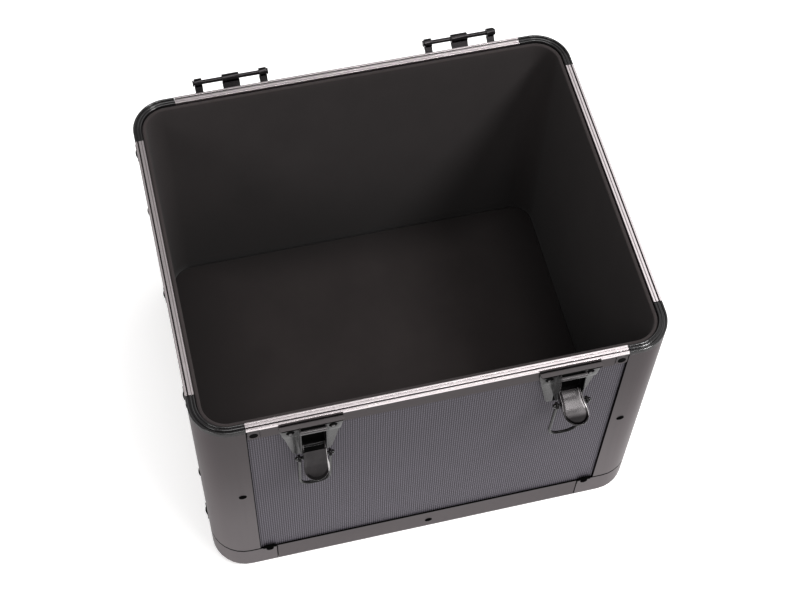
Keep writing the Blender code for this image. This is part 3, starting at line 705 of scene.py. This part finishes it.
def cornerPath(corner, leg, radius, steps):
    signX, signY = cornerFrame(corner)
    tip = Vector((signX * halfWidth, middleY + signY * halfDepth, 0))
    path = []
    for share in (1, 0.5):
        run = radius + (leg - radius) * share
        path.append((tip - Vector((signX * run, 0, 0)), Vector((0, -signY, 0))))
    centre = tip - Vector((signX * radius, signY * radius, 0))
    for step in range(steps + 1):
        angle = pi / 2 * step / steps
        facing = Vector((signX * sin(angle), signY * cos(angle), 0))
        path.append((centre + facing * radius, -facing))
    for share in (0.5, 1):
        run = radius + (leg - radius) * share
        path.append((tip - Vector((0, signY * run, 0)), Vector((-signX, 0, 0))))
    return path


def sweepRing(work, path, section, top):
    rings = []
    for place, inward in path:
        ring = []
        for depth, height in section:
            point = place + inward * depth
            ring.append(work.verts.new((point.x, point.y, top + height)))
        rings.append(ring)
    for skirt in joinRows(work, rings)[::len(section)]:
        skirt.material_index = rimSlots["skirt"]
    work.faces.new(rings[0])
    work.faces.new(rings[-1])


# A point on an arm of a corner: along from the case's corner, inward, and up
def armPoint(corner, arm, along, inward, height):
    signX, signY = cornerFrame(corner)
    if arm == "level":
        return Vector((signX * (halfWidth - along), middleY + signY * (halfDepth - inward), height))
    return Vector((signX * (halfWidth - inward), middleY + signY * (halfDepth - along), height))


def armPlate(work, corner, arm, outline, near, far, slot, edgeBreak=0.0):
    rings = []
    for inward in (near, far):
        ring = [armPoint(corner, arm, along, inward, up) for along, up in outline]
        rings.append([work.verts.new(point) for point in ring])
    faces = [work.faces.new(ring) for ring in rings] + joinRows(work, rings)
    for face in faces:
        face.material_index = slot
    if edgeBreak:
        breakEdges(work, faces[:1], edgeBreak)


# A rivet head on a tab: the cap of a sphere, and a short wall down into the tab
def armRivet(work, corner, arm, shape, slot, around=24):
    along = (shape["tabStart"] + shape["tabEnd"]) / 2
    height, face = shape["rivetHeight"], -shape["tabProud"]
    radius, dome = shape["rivetRadius"], shape["rivetDome"]
    crown = dome * shape["rivetCrown"]
    sphere = (radius ** 2 + crown ** 2) / (2 * crown)
    steps = shape["roundSteps"]
    turns = [asin(radius / sphere) * step / steps for step in range(1, steps + 1)]
    profile = [(sphere * sin(turn), dome - sphere * (1 - cos(turn))) for turn in turns]
    profile.append((radius, -shape["rivetSunk"]))
    tip = work.verts.new(armPoint(corner, arm, along, face - dome, height))
    rings = []
    for wide, out in profile:
        ring = []
        for angle in anglesRound(around):
            side, up = along + wide * cos(angle), height + wide * sin(angle)
            ring.append(work.verts.new(armPoint(corner, arm, side, face - out, up)))
        rings.append(ring)
    faces = joinRows(work, rings) + [work.faces.new(rings[-1])]
    for first, second in zip(rings[0], rings[0][1:] + rings[0][:1]):
        faces.append(work.faces.new((tip, first, second)))
    for face in faces:
        face.material_index = slot


def tabOutline(shape):
    start, end = shape["tabStart"], shape["tabEnd"]
    top, bottom, radius = shape["tabTop"], shape["tabBottom"], shape["tabRound"]
    steps = shape["roundSteps"]
    outline = [(start, top)]
    for middle, turn in ((start + radius, pi), (end - radius, 1.5 * pi)):
        for step in range(steps + 1):
            angle = turn + pi / 2 * step / steps
            outline.append((middle + radius * cos(angle), bottom + radius + radius * sin(angle)))
    outline.append((end, top))
    return outline


def rimCorner(corner, shape, *finishes):
    work = bmesh.new()
    path = cornerPath(corner, shape["leg"], shape["radius"], shape["bendSteps"])
    sweepRing(work, path, ridgeSection(shape), case["top"])
    start, end, near, far, low, high = shape["spigot"]
    block = [(start, low), (end, low), (end, high), (start, high)]
    tab, proud, inside = tabOutline(shape), -shape["tabProud"], shape["tabInside"]
    for arm in ("level", "deep"):
        armPlate(work, corner, arm, block, near, far, rimSlots["bend"])
        armPlate(work, corner, arm, tab, proud, inside, rimSlots["tab"], shape["tabBreak"])
        armRivet(work, corner, arm, shape, rimSlots["rivet"])
    piece = addPiece("rimCorner_" + corner, work, shape["sharpAngle"], *finishes)
    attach(piece, "case")
    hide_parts("rim_corner_" + corner)


tabFinish = anodised("grey rim tab", trimLook, pressed)
rimBlack = glossBlack(rimLook)
rivetBlack = dullBlack("black rivet", dullLooks["rivet"])
skirtBlack = dullBlack("black rim skirt", dullLooks["skirt"])
for corner in corners:  # the finishes come in the order of their slots
    rimCorner(corner, rimShape, rimBlack, tabFinish, rivetBlack, skirtBlack)
print("rim corners made")

# Latches and hinges: steel in black nickel. Painted highlights: each lever's
# right edge is painted bright, and the right lever's middle is painted paler.
steelLook = {
    "dark": (0.012, 0.011, 0.0115, 1),
    "pale": (0.030, 0.0275, 0.0285, 1),
    "cloudScale": 160,
    "fineScale": 2500,
    "roughness": (0.14, 0.24),
    "metallic": 0.95,
    "specular": 0.5,
    "bump": (0.06, 0.0001),
}
leverLook = dict(
    steelLook,
    dark=(0.013, 0.0120, 0.0124, 1),
    pale=(0.031, 0.0285, 0.0294, 1),
    wornAndHighlight=(0.52, 0.50, 0.50, 1),
    highlightSide=(0.0080, 0.0084),
    highlightBreakScale=400,
    middleHighlight={"right": (0.120, 0.113, 0.115, 1)},
    middleHighlightReach=(0.0245, 0.0205),
)
wireLook = dict(
    steelLook,
    dark=(0.005, 0.0047, 0.0048, 1),
    pale=(0.011, 0.0103, 0.0106, 1),
    roughness=(0.12, 0.20),
    metallic=0.0,
    specular=0.06,
)
pinLook = dict(wireLook, metallic=0.3, specular=0.5)


def blackNickel(name, look):
    finish = newFinish(name)
    cloud = grain(finish, look["cloudScale"], 4, 0.6)
    fine = grain(finish, look["fineScale"], 2)
    colour = blendColours(finish, cloud, look["dark"], look["pale"])
    return dress(finish, look, colour, fine, fine)


# The latch plate is satin outside, painted black as shade in the hollow behind
# the lever and on the lip's front face, and its rivets are hollow ones: a dark
# ring, partly painted shadow round each head, round a pale middle. Its top, lip
# and tie bar, is painted paler as painted light. Sides are from the plate's middle,
# drops from the case's top, and outs from its front; each pair is where a mask
# starts and where it is full.
plateLook = {
    "dark": (0.009, 0.0083, 0.0085, 1),
    "pale": (0.021, 0.0194, 0.020, 1),
    "hollow": (0.004, 0.004, 0.004, 1),
    "ring": (0.006, 0.006, 0.006, 1),
    "centre": (0.060, 0.0560, 0.057, 1),
    "bar": (0.060, 0.0560, 0.057, 1),
    "lip": (0.062, 0.0560, 0.0570, 1),
    "ear": (0.010, 0.0093, 0.0096, 1),
    "rivets": [(0.0155, 0.0145), (0.0, 0.0375)],
    "ringRadius": 0.0032,
    "centreRadius": 0.0012,
    "hollowSide": (0.0091, 0.0088),
    "hollowDrop": (0.0060, 0.0066),
    "hollowOut": (0.0036, 0.0030),
    "lipDrop": (0.0060, 0.0056),
    "lipOut": (0.0064, 0.0062),
    "lipFrontShadow": [(0.0047, 0.0049), (0.0060, 0.0058)],
    "earSide": [(0.0083, 0.0085), (0.0106, 0.0104)],
    "earOut": (0.0019, 0.0025),
    "cloudScale": 120,
    "fineScale": 2500,
    "roughness": (0.22, 0.34),
    "lipRoughness": 0.42,
    "dullRoughness": 0.5,
    "metallic": 0.9,
    "specular": 0.5,
    "bump": (0.03, 0.0001),
}


def latchPlate(hand, look):
    finish = newFinish("black nickel plate " + hand)
    x, y, z = splitPlace(finish)
    middle = middleOf("latch_plate_" + hand).x
    side = calc(finish, "ABSOLUTE", calc(finish, "SUBTRACT", x, middle))
    out = calc(finish, "SUBTRACT", case["front"], y)
    drop = calc(finish, "SUBTRACT", case["top"], z)
    # Painted light: the plate's top, its tie bar and lip, is painted paler than the rest
    upper = fade(finish, drop, *look["lipDrop"])
    lip = calc(finish, "MULTIPLY", upper, fade(finish, out, *look["lipOut"]))
    # Painted shadow: the lip's front face is painted black
    lipFrontShadow = calc(finish, "MULTIPLY", band(finish, out, *look["lipFrontShadow"]), lip)
    ear = calc(
        finish, "MULTIPLY", band(finish, side, *look["earSide"]), fade(finish, out, *look["earOut"])
    )
    # Painted shade: the hollow behind the lever is painted black
    hollow = chain(
        finish, "MULTIPLY",
        fade(finish, side, *look["hollowSide"]),
        fade(finish, out, *look["hollowOut"]),
        fade(finish, drop, *look["hollowDrop"]),
    )
    # The rivets' dark ring is partly painted shadow round each head
    spots = {}
    for name in ("ring", "centre"):
        radius = look[name + "Radius"]
        heads = [roundSpot(finish, side, drop, place, radius) for place in look["rivets"]]
        spots[name] = chain(finish, "MAXIMUM", *heads)
    cloud = grain(finish, look["cloudScale"], 4, 0.6)
    fine = grain(finish, look["fineScale"], 2)
    colour = blendColours(finish, cloud, look["dark"], look["pale"])
    layers = [
        (ear, "ear"), (upper, "bar"), (lip, "lip"), (lipFrontShadow, "hollow"), (hollow, "hollow"),
        (spots["ring"], "ring"), (spots["centre"], "centre"),
    ]
    for mask, name in layers:
        colour = blendColours(finish, mask, colour, look[name])
    openRing = calc(finish, "SUBTRACT", spots["ring"], spots["centre"])
    dull = chain(finish, "MAXIMUM", hollow, openRing, lipFrontShadow)
    rough = blendValues(finish, fine, *look["roughness"])
    rough = blendValues(finish, lip, rough, look["lipRoughness"])
    metal = blendValues(finish, lip, look["metallic"], 0.0)
    noShine = calc(finish, "MAXIMUM", dull, lip)
    feedShader(finish, {
        "Base Color": colour,
        "Roughness": blendValues(finish, dull, rough, look["dullRoughness"]),
        "Metallic": blendValues(finish, dull, metal, 0.0),
        "Specular IOR Level": blendValues(finish, noShine, look["specular"], 0.0),
        "Normal": addBump(finish, fine, *look["bump"]),
    })
    return finish


def highlightedLever(hand, look):
    finish = blackNickel("black nickel lever " + hand, look)
    colour = shaderOf(finish).inputs["Base Color"].links[0].from_socket
    x, y, z = splitPlace(finish)
    pin = middleOf("lever_pin_" + hand)
    # Painted highlight: the right lever's middle, round its pin, is painted paler
    if hand in look["middleHighlight"]:
        out = calc(finish, "SUBTRACT", y, pin.y)
        up = calc(finish, "SUBTRACT", z, pin.z)
        middle = fade(finish, reachFrom(finish, out, up), *look["middleHighlightReach"])
        colour = blendColours(finish, middle, colour, look["middleHighlight"][hand])
    # Painted highlight: a bright line along each lever's right edge, broken up by noise
    edge = fade(finish, calc(finish, "SUBTRACT", x, pin.x), *look["highlightSide"])
    wornAndHighlight = blendValues(finish, grain(finish, look["highlightBreakScale"], 3), 0.5, 1.0)
    edge = calc(finish, "MULTIPLY", edge, wornAndHighlight)
    feedShader(finish, {"Base Color": blendColours(finish, edge, colour, look["wornAndHighlight"])})
    return finish


leverFinishes = {hand: highlightedLever(hand, leverLook) for hand in hands}
wireFinish = blackNickel("black nickel wire", wireLook)
pinFinish = blackNickel("black nickel pin", pinLook)
hingeFinish = blackNickel("black nickel hinge", steelLook)
for hand in hands:
    setFinish(["latch_plate_" + hand], latchPlate(hand, plateLook))
    setFinish(["bail_pin_" + hand, "lever_pin_" + hand], pinFinish)
    setFinish(["hinge_leaf_" + hand, "hinge_rod_" + hand], hingeFinish)
print("latches and hinges finished")

# Levers: a pressed blade with a shallow dish inside a rolled edge, and two
# cheeks. Sizes are from the pivot, outward and upward, with the lever closed.
leverShape = {
    "top": (0.0058, 0.0008),
    "bend": (0.0104, -0.0138),
    "turn": (0.0120, -0.0174),
    "sweep": (0.0145, -0.0222),
    "tip": (0.0169, -0.0255),
    "thickness": 0.0012,
    "narrow": 0.00855,
    "wide": 0.00945,
    "widenDrop": 0.009,
    "wideDrop": 0.0138,
    "roundDrop": 0.0165,
    "edgeRound": 0.0005,
    "dish": 0.00045,
    "rolledEdge": 0.0013,
    "cheekOuter": 0.0086,
    "cheekThickness": 0.0012,
    "pivotRadius": 0.0030,
    "bailRadius": 0.0032,
    "bailPin": (0.00507, -0.00896),
    "cheekBreak": 0.0002,
    "straightRows": 20,
    "roundRows": 16,
    "halfColumns": 14,
    "tipAngle": 88,
    "sharpAngle": 50,
    "lift": {"left": 0.0, "right": 64.0},
}


def bladeLine(shape):
    top, bend = Vector(shape["top"]), Vector(shape["bend"])
    line = [top.lerp(bend, step / 12) for step in range(12)]
    handles = [Vector((*shape[key], 0)) for key in ("bend", "turn", "sweep", "tip")]
    line += [point.to_2d() for point in geometry.interpolate_bezier(*handles, 24)]
    line.append(line[-1] + (line[-1] - line[-2]).normalized() * shape["thickness"])
    return line


def pointAtDrop(line, drop):
    for first, second in zip(line, line[1:]):
        if second.y <= -drop:
            share = (first.y + drop) / (first.y - second.y)
            along = (second - first).normalized()
            return first.lerp(second, share), Vector((-along.y, along.x))
    along = (line[-1] - line[-2]).normalized()
    return line[-1], Vector((-along.y, along.x))


def leverBlade(work, shape):
    line = bladeLine(shape)
    tipDrop = -shape["tip"][1] + shape["thickness"] / 2
    roundDrop = shape["roundDrop"]
    start, steps = -shape["top"][1], shape["straightRows"]
    drops = [start + (roundDrop - start) * step / steps for step in range(steps)]
    for step in range(shape["roundRows"] + 1):
        turn = radians(shape["tipAngle"]) * step / shape["roundRows"]
        drops.append(roundDrop + (tipDrop - roundDrop) * sin(turn))
    half, columns = shape["thickness"] / 2, shape["halfColumns"]
    outer, inner = [], []
    for drop in drops:
        point, normal = pointAtDrop(line, drop)
        width = shape["narrow"]
        if drop > shape["widenDrop"]:
            share = (drop - shape["widenDrop"]) / (shape["wideDrop"] - shape["widenDrop"])
            width += (shape["wide"] - shape["narrow"]) * min(share, 1)
        toTip = max(drop - roundDrop, 0) / (tipDrop - roundDrop)
        width *= (1 - toTip ** 2) ** 0.5
        outerRow, innerRow = [], []
        for column in range(-columns, columns + 1):
            x = width * sin(pi / 2 * column / columns)
            inset = width - abs(x)
            if toTip:
                inset = max(shape["wide"] * (1 - hypot(x / shape["wide"], toTip)), 0)
            share = min(max(inset / shape["rolledEdge"] - 0.5, 0), 1)
            dish = shape["dish"] * share * share * (3 - 2 * share)
            soft = shape["edgeRound"]
            fall = soft - (soft ** 2 - (soft - inset) ** 2) ** 0.5 if inset < soft else 0.0
            place = point + normal * (half - dish - fall)
            outerRow.append(work.verts.new((x, -place.x, place.y)))
            place = point - normal * (half - fall)
            innerRow.append(work.verts.new((x, -place.x, place.y)))
        outer.append(outerRow)
        inner.append(innerRow)
    joinRows(work, outer, False)
    joinRows(work, inner, False)
    for end in (0, -1):
        joinRows(work, [outer[end], inner[end]], False)
        joinRows(work, [[row[end] for row in outer], [row[end] for row in inner]], False)


def leverCheek(work, shape, sign):
    points = []
    nose = shape["thickness"] / 4
    circles = [
        (0, 0, shape["pivotRadius"]),
        (*shape["bailPin"], shape["bailRadius"]),
        (shape["top"][0], shape["top"][1] - 2 * nose, nose),
        (*shape["bend"], nose),
    ]
    for out, up, radius in circles:
        for angle in anglesRound(24):
            points.append(Vector((-out + radius * cos(angle), up + radius * sin(angle))))
    rim = [points[index] for index in geometry.convex_hull_2d(points)]
    starts = [sign * shape["cheekOuter"], sign * (shape["cheekOuter"] - shape["cheekThickness"])]
    rings = [[work.verts.new((x, y, z)) for y, z in rim] for x in starts]
    faces = [work.faces.new(ring) for ring in rings]
    joinRows(work, rings)
    breakEdges(work, faces, shape["cheekBreak"])


def latchLever(hand, shape):
    work = bmesh.new()
    leverBlade(work, shape)
    for sign in (-1, 1):
        leverCheek(work, shape, sign)
    hangOnPin(work, "lever_pin_" + hand, -shape["lift"][hand])
    piece = addPiece("latchLever_" + hand, work, shape["sharpAngle"], leverFinishes[hand])
    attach(piece, hand + "_lever")
    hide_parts("latch_lever_" + hand)


for hand in hands:
    latchLever(hand, leverShape)
print("levers made")

# Bails: a round wire bent to a squarish bow, with a flat eye on each end. The
# eye's ring is a list of radii and places across it.
bailShape = {
    "side": 0.0114,
    "length": 0.057,
    "wire": 0.00125,
    "legHeights": (-0.0022, -0.012, -0.024, -0.034),
    "bow": 0.012,
    "squareness": 2.3,
    "eye": [
        (0.0016, -0.0007), (0.0019, -0.0010), (0.0026, -0.0010), (0.0030, -0.0006),
        (0.0030, 0.0006), (0.0026, 0.0010), (0.0019, 0.0010), (0.0016, 0.0007),
    ],
    "sharpAngle": 50,
    "lean": {"left": 5.0, "right": 4.0},
}


def bailLine(shape):
    foot = -shape["length"] + shape["wire"]
    power = 2 / shape["squareness"]
    line = [Vector((shape["side"], 0, height)) for height in shape["legHeights"]]
    for step in range(21):
        angle = pi / 2 * step / 20
        side = shape["side"] * max(cos(angle), 0) ** power
        line.append(Vector((side, 0, foot + shape["bow"] * (1 - sin(angle) ** power))))
    return line + [Vector((-point.x, 0, point.z)) for point in reversed(line[:-1])]


def wireTube(work, line, radius, around=16):
    rings = []
    for index, point in enumerate(line):
        along = (line[min(index + 1, len(line) - 1)] - line[max(index - 1, 0)]).normalized()
        across = Vector((0, 1, 0))
        other = along.cross(across)
        ring = []
        for angle in anglesRound(around):
            facing = across * cos(angle) + other * sin(angle)
            ring.append(work.verts.new(point + facing * radius))
        rings.append(ring)
    joinRows(work, rings)
    work.faces.new(rings[0])
    work.faces.new(rings[-1])


def wireEye(work, side, profile, around=28):
    rings = []
    for angle in anglesRound(around):
        ring = [(side + x, radius * cos(angle), radius * sin(angle)) for radius, x in profile]
        rings.append([work.verts.new(point) for point in ring])
    joinRows(work, rings + rings[:1])


def latchBail(hand, shape):
    work = bmesh.new()
    wireTube(work, bailLine(shape), shape["wire"])
    for sign in (-1, 1):
        wireEye(work, sign * shape["side"], shape["eye"])
    hangOnPin(work, "bail_pin_" + hand, shape["lean"][hand])
    piece = addPiece("latchBail_" + hand, work, shape["sharpAngle"], wireFinish)
    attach(piece, hand + "_bail")
    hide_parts("latch_bail_" + hand)


for hand in hands:
    latchBail(hand, bailShape)
print("bails made")

# Floor board underneath: plywood with a long grain
plyLook = {
    "early": (0.52, 0.37, 0.22, 1),
    "late": (0.34, 0.22, 0.12, 1),
    "ringScale": 28,
    "ringStretch": (0.12, 1, 1),
    "distortion": 9,
    "poreScale": 900,
    "poreStretch": (0.04, 1, 1),
    "roughness": (0.6, 0.8),
    "bump": (0.2, 0.0002),
}


def plywood(look):
    finish = newFinish("plain plywood")
    rings = addNode(finish, "TexWave", wave_type="BANDS", bands_direction="Y")
    join(finish, stretchedPlace(finish, look["ringStretch"]), rings.inputs["Vector"])
    rings.inputs["Scale"].default_value = look["ringScale"]
    rings.inputs["Distortion"].default_value = look["distortion"]
    rings.inputs["Detail"].default_value = 3
    pores = grain(finish, look["poreScale"], 3, stretch=look["poreStretch"])
    mix = blendValues(finish, 0.6, pores, rings.outputs["Fac"])
    colour = blendColours(finish, mix, look["late"], look["early"])
    return dress(finish, look, colour, pores, pores)


setFinish(["floor_board"], plywood(plyLook))

# Feet: moulded rubber
rubberLook = {
    "dark": (0.014, 0.014, 0.014, 1),
    "pale": (0.035, 0.034, 0.033, 1),
    "dustScale": 240,
    "roughness": (0.72, 0.9),
    "bump": (0.15, 0.0002),
}


def mouldedRubber(look):
    finish = newFinish("moulded rubber")
    dust = grain(finish, look["dustScale"], 5)
    colour = blendColours(finish, dust, look["dark"], look["pale"])
    return dress(finish, look, colour, dust, dust)


setFinish(["foot_" + corner for corner in corners], mouldedRubber(rubberLook))
print("floor board and feet finished")

# Lining: thin black foam faced with felt, round the walls and on the floor.
# Painted shade: the walls darken toward their foot, the floor toward its back and
# sides, and the floor's felt takes darker colours than the walls'.
lining = {
    "wallNap": (0.0210, 0.0174, 0.0175, 1),
    "wallWorn": (0.0345, 0.0287, 0.0285, 1),
    "wallFootShade": (0.0125, 0.0103, 0.0103, 1),
    "wallFade": (0.16, 0.01),
    "wallDarkening": 0.8,
    "floorNap": (0.0142, 0.0116, 0.0116, 1),
    "floorWorn": (0.0230, 0.0190, 0.0185, 1),
    "floorEdgeShade": (0.0100, 0.0083, 0.0083, 1),
    "backFade": 0.05,
    "sideFade": 0.08,
    "fibreScale": 1400,
    "cloudScale": 24,
    "contrast": 1.6,
    "roughness": (0.85, 1.0),
    "specular": 0.1,
    "sheen": 0.04,
    "bump": (0.35, 0.0003),
    "thickness": 0.003,
    "cornerRadius": 0.0212,
    "edgeRound": 0.0012,
    "edgeSteps": 4,
    "levels": 24,
    "cornerSteps": 12,
    "sideSteps": 24,
    "floorGrid": (64, 54),
    "waviness": 0.00035,
    "wallWaves": 14,
    "floorWaves": 11,
    "flatEdge": 0.004,
}


def napFelt(name, look, nap, wornAndHighlight):
    finish = newFinish(name)
    fibres = grain(finish, look["fibreScale"], 5, 0.7)
    cloud = grain(finish, look["cloudScale"], 4, 0.6, (1, 1, 0.6))
    mix = calc(finish, "SUBTRACT", blendValues(finish, 0.4, cloud, fibres), 0.5)
    mix = calc(finish, "MULTIPLY_ADD", mix, look["contrast"], 0.5)
    feedShader(finish, {"Sheen Weight": look["sheen"], "Sheen Roughness": 0.6})
    return dress(finish, look, blendColours(finish, mix, nap, wornAndHighlight), fibres, fibres)


def darken(finish, share, dark):
    colour = shaderOf(finish).inputs["Base Color"].links[0].from_socket
    feedShader(finish, {"Base Color": blendColours(finish, share, colour, dark)})


def feltWalls(look):
    finish = napFelt("black wall felt", look, look["wallNap"], look["wallWorn"])
    # Painted shade towards the foot of the walls
    toFoot = fade(finish, splitPlace(finish)["Z"], *look["wallFade"])
    darken(finish, calc(finish, "MULTIPLY", toFoot, look["wallDarkening"]), look["wallFootShade"])
    return finish


def feltFloor(look):
    # Painted shade: the floor's felt takes darker colours than the walls'
    finish = napFelt("black floor felt", look, look["floorNap"], look["floorWorn"])
    x, y, z = splitPlace(finish)
    # Painted shade towards the floor's back and sides
    toBack = fade(finish, y, case["back"] - look["backFade"], case["back"])
    toSide = fade(finish, calc(finish, "ABSOLUTE", x), look["sideFade"], halfWidth)
    darken(finish, calc(finish, "MAXIMUM", toBack, toSide), look["floorEdgeShade"])
    return finish


def ringLine(low, high, radius, steps, runs):
    middles = [
        (high.x - radius, high.y - radius, 0),
        (low.x + radius, high.y - radius, pi / 2),
        (low.x + radius, low.y + radius, pi),
        (high.x - radius, low.y + radius, 3 * pi / 2),
    ]
    points = []
    for index, (x, y, start) in enumerate(middles):
        for step in range(steps + 1):
            angle = start + pi / 2 * step / steps
            facing = Vector((cos(angle), sin(angle), 0))
            points.append((Vector((x, y, 0)) + facing * radius, facing))
        nextX, nextY = middles[(index + 1) % 4][:2]
        first, facing = points[-1]
        last = Vector((nextX, nextY, 0)) + facing * radius
        for step in range(1, runs):
            points.append((first.lerp(last, step / runs), facing))
    return points


# The lining's edge from its foot on the outside, over the rounded top and down
# the inside: places inward from the board, and heights
def liningProfile(low, high, shape):
    thickness, soft = shape["thickness"], shape["edgeRound"]
    profile = [(0.0, low.z + (high.z - low.z) * share / 4) for share in range(4)]
    steps = shape["edgeSteps"]
    turns = [pi / 2 * step / steps for step in range(steps + 1)]
    profile += [(soft * (1 - cos(turn)), high.z - soft * (1 - sin(turn))) for turn in turns]
    for turn in turns:
        inward = thickness - soft * (1 - sin(turn))
        profile.append((inward, high.z - soft * (1 - cos(turn))))
    inner = high.z - soft
    for step in range(1, shape["levels"]):
        profile.append((thickness, inner + (low.z + soft - inner) * step / shape["levels"]))
    return profile + [(thickness, low.z + soft), (thickness - soft, low.z)]


def wallLining(shape, finish):
    low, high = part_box("lining_walls")
    profile = liningProfile(low, high, shape)
    radius, steps, runs = shape["cornerRadius"], shape["cornerSteps"], shape["sideSteps"]
    waves, flat = shape["wallWaves"], shape["flatEdge"]
    work = bmesh.new()
    rows = []
    for place, facing in ringLine(low, high, radius, steps, runs):
        row = []
        for inward, height in profile:
            point = place - facing * inward
            point.z = height
            if inward > shape["thickness"] / 2 and low.z + flat < height < high.z - flat:
                swell = noise.noise(point * waves)
                point -= facing * shape["waviness"] * (swell - 0.4)
            row.append(work.verts.new(point))
        rows.append(row)
    joinRows(work, rows + rows[:1])
    piece = addPiece("wallLining", work, None, finish)
    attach(piece, "case")
    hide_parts("lining_walls")


# A square grid is pushed out to the floor's rounded corners
def padPlace(low, high, radius, x, y):
    middle = Vector((
        min(max(x, low.x + radius), high.x - radius),
        min(max(y, low.y + radius), high.y - radius),
    ))
    reach = Vector((x, y)) - middle
    if reach.x and reach.y:
        reach = reach.normalized() * max(abs(reach.x), abs(reach.y))
    return middle + reach


def floorPad(shape, finish):
    low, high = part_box("lining_floor")
    across, along = shape["floorGrid"]
    waves = shape["floorWaves"]
    work = bmesh.new()
    top, bottom = [], []
    for column in range(across + 1):
        x = low.x + (high.x - low.x) * column / across
        topLine, bottomLine = [], []
        for step in range(along + 1):
            y = low.y + (high.y - low.y) * step / along
            place = padPlace(low, high, shape["cornerRadius"], x, y)
            height = high.z
            if column not in (0, across) and step not in (0, along):
                swell = noise.noise(Vector((place.x * waves, place.y * waves, 3.0)))
                height -= shape["waviness"] * (0.5 - 0.5 * swell)
            topLine.append(work.verts.new((place.x, place.y, height)))
            bottomLine.append(work.verts.new((place.x, place.y, low.z)))
        top.append(topLine)
        bottom.append(bottomLine)
    joinRows(work, top, False)
    joinRows(work, bottom, False)
    rim = [(column, 0) for column in range(across)] + [(across, step) for step in range(along)]
    rim += [(column, along) for column in range(across, 0, -1)]
    rim += [(0, step) for step in range(along, 0, -1)]
    joinRows(work, [[grid[column][step] for column, step in rim] for grid in (top, bottom)])
    piece = addPiece("floorPad", work, None, finish)
    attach(piece, "case")
    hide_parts("lining_floor")


wallLining(lining, feltWalls(lining))
floorPad(lining, feltFloor(lining))
print("lining fitted")
